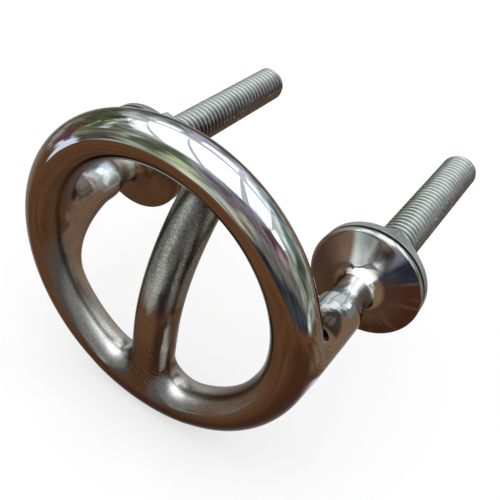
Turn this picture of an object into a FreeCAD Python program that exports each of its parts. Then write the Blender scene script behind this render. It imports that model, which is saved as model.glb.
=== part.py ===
import FreeCAD, Part
import math
import os

import Sketcher
from FreeCAD import Placement, Rotation, Vector

# Water ski hook for a boat's transom, millimetres.
# X runs along the line through both studs, Y runs back along the studs, Z is up.
# Each body is drawn with Y zero on the plane of the flanges' back faces, then moved forward,
# so that the finished origin is halfway between the stud axes on the plane of the nuts' back faces.

doc = FreeCAD.newDocument("water_ski_hook")


# Driving dimensions

SIZES = [
    ("stud_spacing", 82.55, "between the stud axes, three and a quarter inches"),
    ("stud_diameter", 12.7, "half inch stud over its thread"),
    ("stud_root", 10.1, "the same thread at its root, for the length inside flange, washer and nut"),
    ("stud_length", 81.6, "from the flange's back face to the stud's tip"),
    ("stud_socket", 3.4, "depth of the seat for the stud in the flange's back face"),
    ("stud_socket_clearance", 0.05, "between the stud's root and its seat, all round"),
    ("stud_tip_chamfer", 1.3, "bevel that starts the nut"),
    ("flange_diameter", 34.0, "round foot against the transom"),
    ("flange_rim", 2.5, "thickness at the rim"),
    ("flange_edge_round", 0.9, "rounding of the rim's two edges"),
    ("flange_cone_angle", 11.5, "degrees, slope of the front face towards the neck"),
    ("flange_root_round", 3.5, "radius of the hollow between the front face and the neck"),
    ("neck_diameter", 9.9, "waist of the leg in front of the flange"),
    ("leg_diameter", 13.2, "straight part of the leg"),
    ("shoulder_radius", 16.0, "of the two arcs that lead from the waist to the full leg"),
    ("leg_end_inset", 3.0, "from the ring's plane back to the centre of the leg's round end"),
    ("leg_overhang", 0.975, "how far each leg's axis lies outside the ring's centre line"),
    ("ring_half_height", 41.7, "centre line of the ring, along Z"),
    ("ring_bar", 12.2, "diameter of the ring's round bar"),
    ("ring_distance", 41.4, "from the flanges' back faces to the ring's plane"),
    ("ring_drop", 0.6, "ring centre below the stud axes"),
    ("ring_lean", 2.0, "degrees that the top of the ring leans forward"),
    ("web_hollow", 18.5, "radius of the web's hollow edge under each leg"),
    ("web_bar", 11.8, "thickness of the web and of its round edge"),
    ("web_tilt", 18.0, "degrees that the web under a leg slants with the ring's side"),
    ("crotch_hollow", 4.0, "radius of the hollow corner above each leg"),
    ("crotch_tilt", 13.0, "degrees that the corner above a leg slants with the ring's side"),
    ("root_inset", 0.5, "how far the webs' plates start inside the bars"),
    ("horn_bar", 12.4, "diameter of the horn"),
    ("horn_distance", 40.7, "from the flanges' back faces to the horn's straight foot"),
    ("horn_foot", 41.9, "from the stud axes down to the start of the horn in the ring"),
    ("horn_bend_start", 16.0, "below the stud axes, where the horn starts to lean back"),
    ("horn_bend_radius", 55.0, "of the horn's centre line"),
    ("horn_bend_angle", 53.3, "degrees that the horn leans back at its tip"),
    ("horn_tip_round", 5.8, "rounding of the horn's free end"),
    ("horn_root_hollow", 5.2, "radius of the hollow corners between the horn and the ring"),
    ("horn_root_bar", 12.1, "thickness of the horn's spread foot"),
    ("washer_diameter", 33.8, "large washer behind each flange"),
    ("washer_thickness", 3.1, "large washer"),
    ("washer_edge_round", 0.7, "rounding of the washer's outer edges"),
    ("washer_clearance", 0.35, "between the washer's hole and the stud, all round"),
    ("nut_width", 19.05, "across the flats, three quarters of an inch"),
    ("nut_thickness", 11.1, "along the stud"),
    ("nut_bevel_angle", 30.0, "degrees, of the corners' bevels"),
    ("nut_bevel_reach", 1.0, "overshoot of the bevel's cut past the corners"),
    ("nut_bore_clearance", 0.1, "between the nut's bore and the stud's root, all round"),
    ("nut_bore_chamfer", 1.3, "bevel at both ends of the bore"),
    ("left_nut_turn", 35.0, "degrees from X to the left nut's corner"),
    ("right_nut_turn", 25.0, "degrees from X to the right nut's corner"),
]

sheet = doc.addObject("Spreadsheet::Sheet", "sizes")
value = {}
for row, (name, number, meaning) in enumerate(SIZES, start=1):
    sheet.set("A%d" % row, name)
    sheet.set("B%d" % row, str(number))
    sheet.setAlias("B%d" % row, name)
    sheet.set("C%d" % row, meaning)
    value[name] = number
doc.recompute()


# Helpers for bodies and sketches

def make_body(label):
    body = doc.addObject("PartDesign::Body", label)
    body.Label = label
    return body


def origin_feature(body, role):
    return next(item for item in body.Origin.OriginFeatures if item.Role == role)


def add_sketch(body, name, plane, offset=None, expressions=()):
    """A sketch on one of the body's own origin planes, moved by an offset."""
    sketch = body.newObject("Sketcher::SketchObject", name)
    sketch.AttachmentSupport = [(origin_feature(body, plane), "")]
    sketch.MapMode = "FlatFace"
    if offset is not None:
        sketch.AttachmentOffset = offset
    for path, formula in expressions:
        sketch.setExpression("AttachmentOffset." + path, formula)
    return sketch


def bind(sketch, constraint, formula):
    """Adds a dimension and ties it to the sheet."""
    index = sketch.addConstraint(constraint)
    sketch.setExpression("Constraints[%d]" % index, formula)


def place_point(sketch, geometry, end, x_formula, y_formula, x, y):
    """Ties one point of the sketch to the sketch's origin."""
    if abs(x) < 1e-9:
        sketch.addConstraint(Sketcher.Constraint("PointOnObject", geometry, end, -2))
    else:
        bind(sketch, Sketcher.Constraint("DistanceX", -1, 1, geometry, end, x), x_formula)
    if abs(y) < 1e-9:
        sketch.addConstraint(Sketcher.Constraint("PointOnObject", geometry, end, -1))
    else:
        bind(sketch, Sketcher.Constraint("DistanceY", -1, 1, geometry, end, y), y_formula)


def add_circle(sketch, x_formula, y_formula, radius_formula, x, y, radius):
    circle = sketch.addGeometry(Part.Circle(Vector(x, y, 0), Vector(0, 0, 1), radius))
    place_point(sketch, circle, 3, x_formula, y_formula, x, y)
    bind(sketch, Sketcher.Constraint("Radius", circle, radius), radius_formula)
    return circle


def join(sketch, kind, *pairs):
    """Joins ends of lines and arcs, plainly or tangentially."""
    for first, first_end, second, second_end in pairs:
        sketch.addConstraint(Sketcher.Constraint(kind, first, first_end, second, second_end))


def segment(first, last):
    return Part.LineSegment(Vector(first[0], first[1], 0), Vector(last[0], last[1], 0))


def arc(center, radius, first, last):
    """An arc given by its centre, radius and first and last angle in degrees."""
    circle = Part.Circle(Vector(center[0], center[1], 0), Vector(0, 0, 1), radius)
    return Part.ArcOfCircle(circle, math.radians(first), math.radians(last))


def add_pad(body, sketch, length_formula, symmetric=False):
    pad = body.newObject("PartDesign::Pad", sketch.Name + "_pad")
    pad.Profile = sketch
    if symmetric:
        pad.SideType = "Symmetric"
    pad.setExpression("Length", length_formula)
    return pad


def add_turn(body, sketch, axis, angle_formula=None, cut=False, reverse=False):
    """Revolves a sketch about one of its own axes."""
    kind = "PartDesign::Groove" if cut else "PartDesign::Revolution"
    turn = body.newObject(kind, sketch.Name + "_turn")
    turn.Profile = sketch
    turn.ReferenceAxis = (sketch, [axis])
    turn.Reversed = reverse
    if angle_formula is None:
        turn.Angle = 360
    else:
        turn.setExpression("Angle", angle_formula)
    return turn


def mirror_across_middle(body, originals, name):
    mirror = body.newObject("PartDesign::Mirrored", name)
    mirror.Originals = originals
    mirror.MirrorPlane = (origin_feature(body, "YZ_Plane"), [""])
    body.Tip = mirror
    return mirror


# Casting: ring of round bar, an oval of four arcs in a plane that leans forward at the top

hook = make_body("hook_body")

LEAN = ("Rotation.Angle", "sizes.ring_lean")
HALF_WIDTH = "(sizes.stud_spacing / 2 - sizes.leg_overhang)"
ARC_SHIFT = "((sizes.ring_half_height - %s) * (1 + 1 / sqrt(2)))" % HALF_WIDTH
CURVE = "(sizes.ring_half_height - %s)" % ARC_SHIFT
lean = math.radians(value["ring_lean"])
half_width = value["stud_spacing"] / 2 - value["leg_overhang"]
arc_shift = (value["ring_half_height"] - half_width) * (1 + 1 / math.sqrt(2))
ring_bar = value["ring_bar"] / 2


def add_ring_end(name, side):
    """The arc at the top, side 1, or at the bottom, side -1."""
    height = side * value["ring_half_height"]
    level = side * arc_shift
    sketch = add_sketch(
        hook, name, "YZ_Plane",
        Placement(Vector(-value["ring_distance"], -value["ring_drop"], 0),
                  Rotation(Vector(0, 0, 1), value["ring_lean"])),
        (("Base.x", "-sizes.ring_distance"), ("Base.y", "-sizes.ring_drop"), LEAN),
    )
    add_circle(sketch, "0", "%d * sizes.ring_half_height" % side, "sizes.ring_bar / 2", 0, height, ring_bar)
    axis = sketch.addGeometry(segment((0, level), (ring_bar, level)), True)
    sketch.addConstraint(Sketcher.Constraint("Horizontal", axis))
    sketch.addConstraint(Sketcher.Constraint("PointOnObject", axis, 1, -2))
    bind(sketch, Sketcher.Constraint("DistanceX", axis, 1, axis, 2, ring_bar), "sizes.ring_bar / 2")
    bind(sketch, Sketcher.Constraint("DistanceY", -1, 1, axis, 1, level), "%d * %s" % (side, ARC_SHIFT))
    turn = add_turn(hook, sketch, "Axis0")
    turn.Midplane = True
    turn.Angle = 90
    return turn


def add_ring_side():
    """The arc at the right side."""
    sketch = add_sketch(
        hook, "ring_side", "XY_Plane",
        Placement(Vector(0, -value["ring_distance"], -value["ring_drop"]),
                  Rotation(Vector(1, 0, 0), value["ring_lean"])),
        (("Base.y", "-sizes.ring_distance"), ("Base.z", "-sizes.ring_drop"), LEAN),
    )
    add_circle(sketch, HALF_WIDTH, "0", "sizes.ring_bar / 2", half_width, 0, ring_bar)
    axis = sketch.addGeometry(segment((-arc_shift, 0), (-arc_shift, ring_bar)), True)
    sketch.addConstraint(Sketcher.Constraint("Vertical", axis))
    sketch.addConstraint(Sketcher.Constraint("PointOnObject", axis, 1, -1))
    bind(sketch, Sketcher.Constraint("DistanceY", axis, 1, axis, 2, ring_bar), "sizes.ring_bar / 2")
    bind(sketch, Sketcher.Constraint("DistanceX", axis, 1, -1, 1, arc_shift), ARC_SHIFT)
    turn = add_turn(hook, sketch, "Axis0")
    turn.Midplane = True
    turn.Angle = 90
    return turn


add_ring_end("ring_top", 1)
ring_side = add_ring_side()
mirror_across_middle(hook, [ring_side], "ring_left_side")
add_ring_end("ring_bottom", -1)


# Casting: legs with necks and flanges, revolved about the stud axes

rim = value["flange_diameter"] / 2
waist = value["neck_diameter"] / 2
full = value["leg_diameter"] / 2
hollow = value["flange_root_round"]
cone = value["flange_cone_angle"]
sweep = math.radians(90 - cone)
hollow_r = waist + hollow * (1 - math.cos(sweep))
hollow_y = -value["flange_rim"] - (rim - hollow_r) * math.tan(math.radians(cone))
waist_y = hollow_y - hollow * math.sin(sweep)
bend = value["shoulder_radius"]
bend_angle = math.degrees(math.acos(1 - (full - waist) / 2 / bend))
shoulder_y = waist_y - 2 * bend * math.sin(math.radians(bend_angle))
dome_y = -(value["ring_distance"] - value["leg_end_inset"])

leg_outline = add_sketch(
    hook, "leg_outline", "XY_Plane",
    Placement(Vector(value["stud_spacing"] / 2, 0, 0), Rotation()),
    (("Base.x", "sizes.stud_spacing / 2"),),
)
g_dome = leg_outline.addGeometry(arc((0, dome_y), full, -90, 0))
g_shaft = leg_outline.addGeometry(segment((full, dome_y), (full, shoulder_y)))
g_shoulder = leg_outline.addGeometry(arc((full - bend, shoulder_y), bend, 0, bend_angle))
g_throat = leg_outline.addGeometry(arc((waist + bend, waist_y), bend, 180, 180 + bend_angle))
g_hollow = leg_outline.addGeometry(arc((waist + hollow, waist_y), hollow, 90 + cone, 180))
g_face = leg_outline.addGeometry(segment((hollow_r, hollow_y), (rim, -value["flange_rim"])))
g_wall = leg_outline.addGeometry(segment((rim, -value["flange_rim"]), (rim, 0)))
g_back = leg_outline.addGeometry(segment((rim, 0), (0, 0)))
g_core = leg_outline.addGeometry(segment((0, 0), (0, dome_y - full)))
join(leg_outline, "Tangent",
     (g_dome, 2, g_shaft, 1), (g_shaft, 2, g_shoulder, 1), (g_shoulder, 2, g_throat, 2),
     (g_throat, 1, g_hollow, 2), (g_hollow, 1, g_face, 1))
join(leg_outline, "Coincident",
     (g_face, 2, g_wall, 1), (g_wall, 2, g_back, 1), (g_back, 2, g_core, 1), (g_core, 2, g_dome, 1))
join(leg_outline, "Coincident", (g_back, 2, -1, 1))
leg_outline.addConstraint(Sketcher.Constraint("PointOnObject", g_dome, 3, -2))
for upright in (g_shaft, g_wall, g_core):
    leg_outline.addConstraint(Sketcher.Constraint("Vertical", upright))
leg_outline.addConstraint(Sketcher.Constraint("Horizontal", g_back))
leg_outline.addConstraint(Sketcher.Constraint("Horizontal", g_throat, 3, g_throat, 1))
bind(leg_outline, Sketcher.Constraint("Radius", g_dome, full), "sizes.leg_diameter / 2")
bind(leg_outline, Sketcher.Constraint("Radius", g_shoulder, bend), "sizes.shoulder_radius")
bind(leg_outline, Sketcher.Constraint("Radius", g_throat, bend), "sizes.shoulder_radius")
bind(leg_outline, Sketcher.Constraint("Radius", g_hollow, hollow), "sizes.flange_root_round")
bind(leg_outline, Sketcher.Constraint("DistanceX", -1, 1, g_throat, 1, waist), "sizes.neck_diameter / 2")
bind(leg_outline, Sketcher.Constraint("DistanceX", -1, 1, g_wall, 2, rim), "sizes.flange_diameter / 2")
bind(leg_outline, Sketcher.Constraint("DistanceY", g_wall, 1, g_wall, 2, value["flange_rim"]),
     "sizes.flange_rim")
bind(leg_outline, Sketcher.Constraint("DistanceY", g_dome, 3, -1, 1, -dome_y),
     "sizes.ring_distance - sizes.leg_end_inset")
bind(leg_outline, Sketcher.Constraint("Angle", g_wall, 1, g_face, 2, math.radians(90 + cone)),
     "90 + sizes.flange_cone_angle")
right_leg = add_turn(hook, leg_outline, "V_Axis")


# Casting: web below and hollow corner above each leg, both with a round edge

def add_leg_root(name, side, hollow_name, tilt_name):
    """Fills the corner between leg and ring; side is 1 above the leg and -1 below."""
    bar = value["web_bar"] / 2
    reach = value[hollow_name] + bar
    ring_y = -value["ring_distance"]
    reach_formula = "(sizes.%s + sizes.web_bar / 2)" % hollow_name
    inset = value["root_inset"]

    plate = add_sketch(
        hook, name + "_plate", "YZ_Plane",
        Placement(Vector(0, 0, value["stud_spacing"] / 2),
                  Rotation(Vector(1, 0, 0), -side * value[tilt_name])),
        (("Base.z", "sizes.stud_spacing / 2"),
         ("Rotation.Angle", "%d * sizes.%s" % (-side, tilt_name))),
    )
    near = (ring_y - inset, -side * inset)
    outer = (ring_y + reach, -side * inset)
    tangent_leg = (ring_y + reach, 0)
    tangent_ring = (ring_y, side * reach)
    far = (ring_y - inset, side * reach)
    g_long = plate.addGeometry(segment(near, outer))
    g_end = plate.addGeometry(segment(outer, tangent_leg))
    if side > 0:
        g_arc = plate.addGeometry(arc((ring_y + reach, reach), reach, 180, 270))
        at_leg, at_ring = 2, 1
    else:
        g_arc = plate.addGeometry(arc((ring_y + reach, -reach), reach, 90, 180))
        at_leg, at_ring = 1, 2
    g_foot = plate.addGeometry(segment(tangent_ring, far))
    g_front = plate.addGeometry(segment(far, near))
    join(plate, "Coincident",
         (g_long, 2, g_end, 1), (g_end, 2, g_arc, at_leg), (g_arc, at_ring, g_foot, 1),
         (g_foot, 2, g_front, 1), (g_front, 2, g_long, 1))
    for level in (g_long, g_foot):
        plate.addConstraint(Sketcher.Constraint("Horizontal", level))
    for upright in (g_end, g_front):
        plate.addConstraint(Sketcher.Constraint("Vertical", upright))
    plate.addConstraint(Sketcher.Constraint("PointOnObject", g_end, 2, -1))
    plate.addConstraint(Sketcher.Constraint("Vertical", g_arc, 3, g_arc, at_leg))
    plate.addConstraint(Sketcher.Constraint("Horizontal", g_arc, 3, g_arc, at_ring))
    bind(plate, Sketcher.Constraint("Radius", g_arc, reach), reach_formula)
    bind(plate, Sketcher.Constraint("DistanceX", g_arc, at_ring, -1, 1, -ring_y), "sizes.ring_distance")
    bind(plate, Sketcher.Constraint("DistanceX", g_front, 2, g_arc, at_ring, inset), "sizes.root_inset")
    if side > 0:
        bind(plate, Sketcher.Constraint("DistanceY", g_front, 2, -1, 1, inset), "sizes.root_inset")
    else:
        bind(plate, Sketcher.Constraint("DistanceY", -1, 1, g_front, 2, inset), "sizes.root_inset")
    pad = add_pad(hook, plate, "sizes.web_bar", symmetric=True)

    section = add_sketch(
        hook, name + "_edge", "XZ_Plane",
        Placement(Vector(value["stud_spacing"] / 2, 0, -(ring_y + reach)),
                  Rotation(Vector(0, 0, 1), side * value[tilt_name])),
        (("Base.x", "sizes.stud_spacing / 2"),
         ("Base.z", "sizes.ring_distance - " + reach_formula),
         ("Rotation.Angle", "%d * sizes.%s" % (side, tilt_name))),
    )
    add_circle(section, "0", "0", "sizes.web_bar / 2", 0, 0, bar)
    axis = section.addGeometry(segment((0, side * reach), (bar, side * reach)), True)
    section.addConstraint(Sketcher.Constraint("Horizontal", axis))
    section.addConstraint(Sketcher.Constraint("PointOnObject", axis, 1, -2))
    bind(section, Sketcher.Constraint("DistanceX", axis, 1, axis, 2, bar), "sizes.web_bar / 2")
    if side > 0:
        bind(section, Sketcher.Constraint("DistanceY", -1, 1, axis, 1, reach), reach_formula)
    else:
        bind(section, Sketcher.Constraint("DistanceY", axis, 1, -1, 1, reach), reach_formula)
    edge = add_turn(hook, section, "Axis0")
    edge.Angle = 90
    edge.Reversed = side > 0
    return [pad, edge]


right_roots = add_leg_root("web", -1, "web_hollow", "web_tilt")
right_roots += add_leg_root("crotch", 1, "crotch_hollow", "crotch_tilt")

socket = add_sketch(
    hook, "stud_socket", "XZ_Plane",
    Placement(Vector(value["stud_spacing"] / 2, 0, 0), Rotation()),
    (("Base.x", "sizes.stud_spacing / 2"),),
)
add_circle(socket, "0", "0", "sizes.stud_root / 2 + sizes.stud_socket_clearance",
           0, 0, value["stud_root"] / 2 + value["stud_socket_clearance"])
seat = hook.newObject("PartDesign::Pocket", "stud_seat")
seat.Profile = socket
seat.Reversed = True
seat.setExpression("Length", "sizes.stud_socket")
mirror_across_middle(hook, [right_leg] + right_roots + [seat], "left_side")


# Casting: horn that rises from the ring's bottom and leans back behind its top

horn_y = -value["horn_distance"]
horn_bend = value["horn_bend_radius"]
horn_low = -value["horn_bend_start"]
horn_drop = value["horn_foot"] - value["horn_bend_start"] - horn_bend * math.sin(lean)
foot_y = horn_y + horn_bend * (1 - math.cos(lean)) + horn_drop * math.tan(lean)
stem_top = (horn_y + horn_bend * (1 - math.cos(lean)), horn_low - horn_bend * math.sin(lean))
bow_angle = value["horn_bend_angle"] + value["ring_lean"]
FOOT_DISTANCE = (
    "sizes.horn_distance - sizes.horn_bend_radius * (1 - cos(sizes.ring_lean)) - "
    "(sizes.horn_foot - sizes.horn_bend_start - sizes.horn_bend_radius * sin(sizes.ring_lean))"
    " * tan(sizes.ring_lean)"
)

horn_path = add_sketch(hook, "horn_path", "YZ_Plane")
g_stem = horn_path.addGeometry(segment((foot_y, -value["horn_foot"]), stem_top))
g_bow = horn_path.addGeometry(
    arc((horn_y + horn_bend, horn_low), horn_bend, 180 - value["horn_bend_angle"], 180 + value["ring_lean"]))
join(horn_path, "Tangent", (g_stem, 2, g_bow, 2))
bind(horn_path, Sketcher.Constraint("DistanceX", -1, 1, g_bow, 3, horn_y + horn_bend),
     "sizes.horn_bend_radius - sizes.horn_distance")
bind(horn_path, Sketcher.Constraint("DistanceY", g_bow, 3, -1, 1, -horn_low), "sizes.horn_bend_start")
bind(horn_path, Sketcher.Constraint("Radius", g_bow, horn_bend), "sizes.horn_bend_radius")
bind(horn_path, Sketcher.Constraint("Angle", g_bow, math.radians(bow_angle)),
     "sizes.horn_bend_angle + sizes.ring_lean")
bind(horn_path, Sketcher.Constraint("DistanceY", g_stem, 1, -1, 1, value["horn_foot"]), "sizes.horn_foot")
bind(horn_path, Sketcher.Constraint("DistanceX", g_stem, 1, -1, 1, -foot_y), FOOT_DISTANCE)

horn_section = add_sketch(
    hook, "horn_section", "XY_Plane",
    Placement(Vector(0, foot_y, -value["horn_foot"]), Rotation(Vector(1, 0, 0), value["ring_lean"])),
    (("Base.y", "-(%s)" % FOOT_DISTANCE), ("Base.z", "-sizes.horn_foot"), LEAN),
)
add_circle(horn_section, "0", "0", "sizes.horn_bar / 2", 0, 0, value["horn_bar"] / 2)
horn = hook.newObject("PartDesign::AdditivePipe", "horn")
horn.Profile = horn_section
horn.Spine = (horn_path, ["Edge1", "Edge2"])
doc.recompute()


# Casting: spread foot of the horn, in the ring's own leaning plane

def add_horn_root():
    bar = value["horn_root_bar"] / 2
    reach = value["horn_root_hollow"] + bar
    low = value["ring_half_height"]
    curve = low - arc_shift
    inset = value["root_inset"]
    reach_formula = "(sizes.horn_root_hollow + sizes.horn_root_bar / 2)"
    level = curve - low - math.sqrt((curve - reach) ** 2 - reach ** 2)
    lean_in = math.atan2(math.sqrt((curve - reach) ** 2 - reach ** 2), reach)
    outer = (curve * math.cos(lean_in), curve - low - curve * math.sin(lean_in))

    plate = add_sketch(
        hook, "horn_foot_plate", "XZ_Plane",
        Placement(Vector(0, -value["ring_drop"], value["ring_distance"]),
                  Rotation(Vector(1, 0, 0), value["ring_lean"])),
        (("Base.y", "-sizes.ring_drop"), ("Base.z", "sizes.ring_distance"), LEAN),
    )
    g_arc = plate.addGeometry(arc((reach, level), reach, 180, 360 - math.degrees(lean_in)))
    g_top = plate.addGeometry(segment((0, level), (-inset, level)))
    g_left = plate.addGeometry(segment((-inset, level), (-inset, -low)))
    g_low = plate.addGeometry(segment((-inset, -low), (0, -low)))
    g_rim = plate.addGeometry(arc((0, curve - low), curve, 270, 360 - math.degrees(lean_in)))
    join(plate, "Coincident",
         (g_arc, 1, g_top, 1), (g_top, 2, g_left, 1), (g_left, 2, g_low, 1), (g_low, 2, g_rim, 1))
    join(plate, "Tangent", (g_rim, 2, g_arc, 2))
    for straight in (g_top, g_low):
        plate.addConstraint(Sketcher.Constraint("Horizontal", straight))
    plate.addConstraint(Sketcher.Constraint("Vertical", g_left))
    plate.addConstraint(Sketcher.Constraint("PointOnObject", g_arc, 1, -2))
    plate.addConstraint(Sketcher.Constraint("PointOnObject", g_rim, 1, -2))
    plate.addConstraint(Sketcher.Constraint("PointOnObject", g_rim, 3, -2))
    plate.addConstraint(Sketcher.Constraint("Horizontal", g_arc, 3, g_arc, 1))
    bind(plate, Sketcher.Constraint("Radius", g_arc, reach), reach_formula)
    bind(plate, Sketcher.Constraint("Radius", g_rim, curve), CURVE)
    bind(plate, Sketcher.Constraint("DistanceY", g_rim, 1, -1, 1, low), "sizes.ring_half_height")
    bind(plate, Sketcher.Constraint("DistanceX", g_left, 1, -1, 1, inset), "sizes.root_inset")
    pad = add_pad(hook, plate, "sizes.horn_root_bar", symmetric=True)

    rise = "sqrt((%s - %s)^2 - %s^2)" % (CURVE, reach_formula, reach_formula)
    level_formula = "(%s - sizes.ring_half_height - %s)" % (CURVE, rise)
    section = add_sketch(
        hook, "horn_foot_edge", "XY_Plane",
        Placement(Vector(0, -value["ring_distance"] - level * math.sin(lean),
                         level * math.cos(lean) - value["ring_drop"]),
                  Rotation(Vector(1, 0, 0), value["ring_lean"])),
        (("Base.y", "-sizes.ring_distance - %s * sin(sizes.ring_lean)" % level_formula),
         ("Base.z", "%s * cos(sizes.ring_lean) - sizes.ring_drop" % level_formula),
         LEAN),
    )
    add_circle(section, "0", "0", "sizes.horn_root_bar / 2", 0, 0, bar)
    axis = section.addGeometry(segment((reach, 0), (reach, bar)), True)
    section.addConstraint(Sketcher.Constraint("Vertical", axis))
    section.addConstraint(Sketcher.Constraint("PointOnObject", axis, 1, -1))
    bind(section, Sketcher.Constraint("DistanceX", -1, 1, axis, 1, reach), reach_formula)
    bind(section, Sketcher.Constraint("DistanceY", axis, 1, axis, 2, bar), "sizes.horn_root_bar / 2")
    edge = add_turn(hook, section, "Axis0", "180 deg - atan(%s / %s)" % (rise, reach_formula), reverse=True)
    return [pad, edge]


mirror_across_middle(hook, add_horn_root(), "left_of_horn")
doc.recompute()


# Casting: rounded horn tip and rounded flange rims

def named_edges(shape, test):
    return ["Edge%d" % (number + 1) for number, edge in enumerate(shape.Edges) if test(edge)]


def circle_at(edge, axis, level, radius):
    """True for a circular edge at the given level along an axis, with the given radius."""
    if edge.Degenerated or not isinstance(edge.Curve, Part.Circle):
        return False
    return (abs(getattr(edge.Curve.Center, axis) - level) < 0.01
            and abs(edge.Curve.Radius - radius) < 0.01)


def round_edges(body, name, test, size, expected, kind="Fillet"):
    """Rounds or bevels the edges that pass a test, and checks how many there are."""
    base = body.Tip
    found = named_edges(base.Shape, test)
    if len(found) != expected:
        raise RuntimeError("%s: %d edges instead of %d" % (name, len(found), expected))
    feature = body.newObject("PartDesign::" + kind, name)
    feature.Base = (base, found)
    feature.setExpression("Radius" if kind == "Fillet" else "Size", "sizes." + size)
    body.Tip = feature
    doc.recompute()
    return feature


horn_end = math.radians(value["horn_bend_angle"])
horn_end_z = horn_low + horn_bend * math.sin(horn_end)
round_edges(hook, "horn_tip", lambda edge: circle_at(edge, "z", horn_end_z, value["horn_bar"] / 2),
            "horn_tip_round", 1)
round_edges(hook, "flange_rims",
            lambda edge: circle_at(edge, "y", 0, rim) or circle_at(edge, "y", -value["flange_rim"], rim),
            "flange_edge_round", 4)


# Studs: the free thread at its full diameter, the thread inside flange and nut at its root

def add_disc(body, name, radius, radius_formula, far, far_formula, length_formula):
    """A round bar or disc along Y; far is the Y of its back end."""
    sketch = add_sketch(body, name, "XZ_Plane", Placement(Vector(0, 0, -far), Rotation()),
                        (("Base.z", "-(%s)" % far_formula),))
    add_circle(sketch, "0", "0", radius_formula, 0, 0, radius)
    return add_pad(body, sketch, length_formula), sketch


def put_in_place(body, side):
    """Moves a body onto a stud's axis, side 1 or -1, or keeps it in the middle, side 0."""
    forward = -(value["washer_thickness"] + value["nut_thickness"])
    body.Placement = Placement(Vector(side * value["stud_spacing"] / 2, forward, 0), Rotation())
    body.setExpression("Placement.Base.x", "%d * sizes.stud_spacing / 2" % side)
    body.setExpression("Placement.Base.y", "-(sizes.washer_thickness + sizes.nut_thickness)")


def make_stud(label, side):
    body = make_body(label)
    grip = value["washer_thickness"] + value["nut_thickness"]
    add_disc(body, label + "_held", value["stud_root"] / 2, "sizes.stud_root / 2",
             grip, "sizes.washer_thickness + sizes.nut_thickness",
             "sizes.washer_thickness + sizes.nut_thickness + sizes.stud_socket")
    free, _ = add_disc(body, label + "_free", value["stud_diameter"] / 2, "sizes.stud_diameter / 2",
                       value["stud_length"], "sizes.stud_length",
                       "sizes.stud_length - sizes.washer_thickness - sizes.nut_thickness")
    body.Tip = free
    doc.recompute()
    round_edges(body, label + "_tip",
                lambda edge: circle_at(edge, "y", value["stud_length"], value["stud_diameter"] / 2),
                "stud_tip_chamfer", 1, "Chamfer")
    put_in_place(body, side)
    return body


# Washers, seated on the flanges' back faces

def make_washer(label, side):
    body = make_body(label)
    outer = value["washer_diameter"] / 2
    hole = value["stud_diameter"] / 2 + value["washer_clearance"]
    pad, sketch = add_disc(body, label + "_disc", outer, "sizes.washer_diameter / 2",
                           value["washer_thickness"], "sizes.washer_thickness", "sizes.washer_thickness")
    add_circle(sketch, "0", "0", "sizes.stud_diameter / 2 + sizes.washer_clearance", 0, 0, hole)
    body.Tip = pad
    doc.recompute()
    round_edges(body, label + "_edges",
                lambda edge: circle_at(edge, "y", 0, outer)
                or circle_at(edge, "y", value["washer_thickness"], outer),
                "washer_edge_round", 2)
    put_in_place(body, side)
    return body


# Hexagon nuts, seated on the washers

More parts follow.
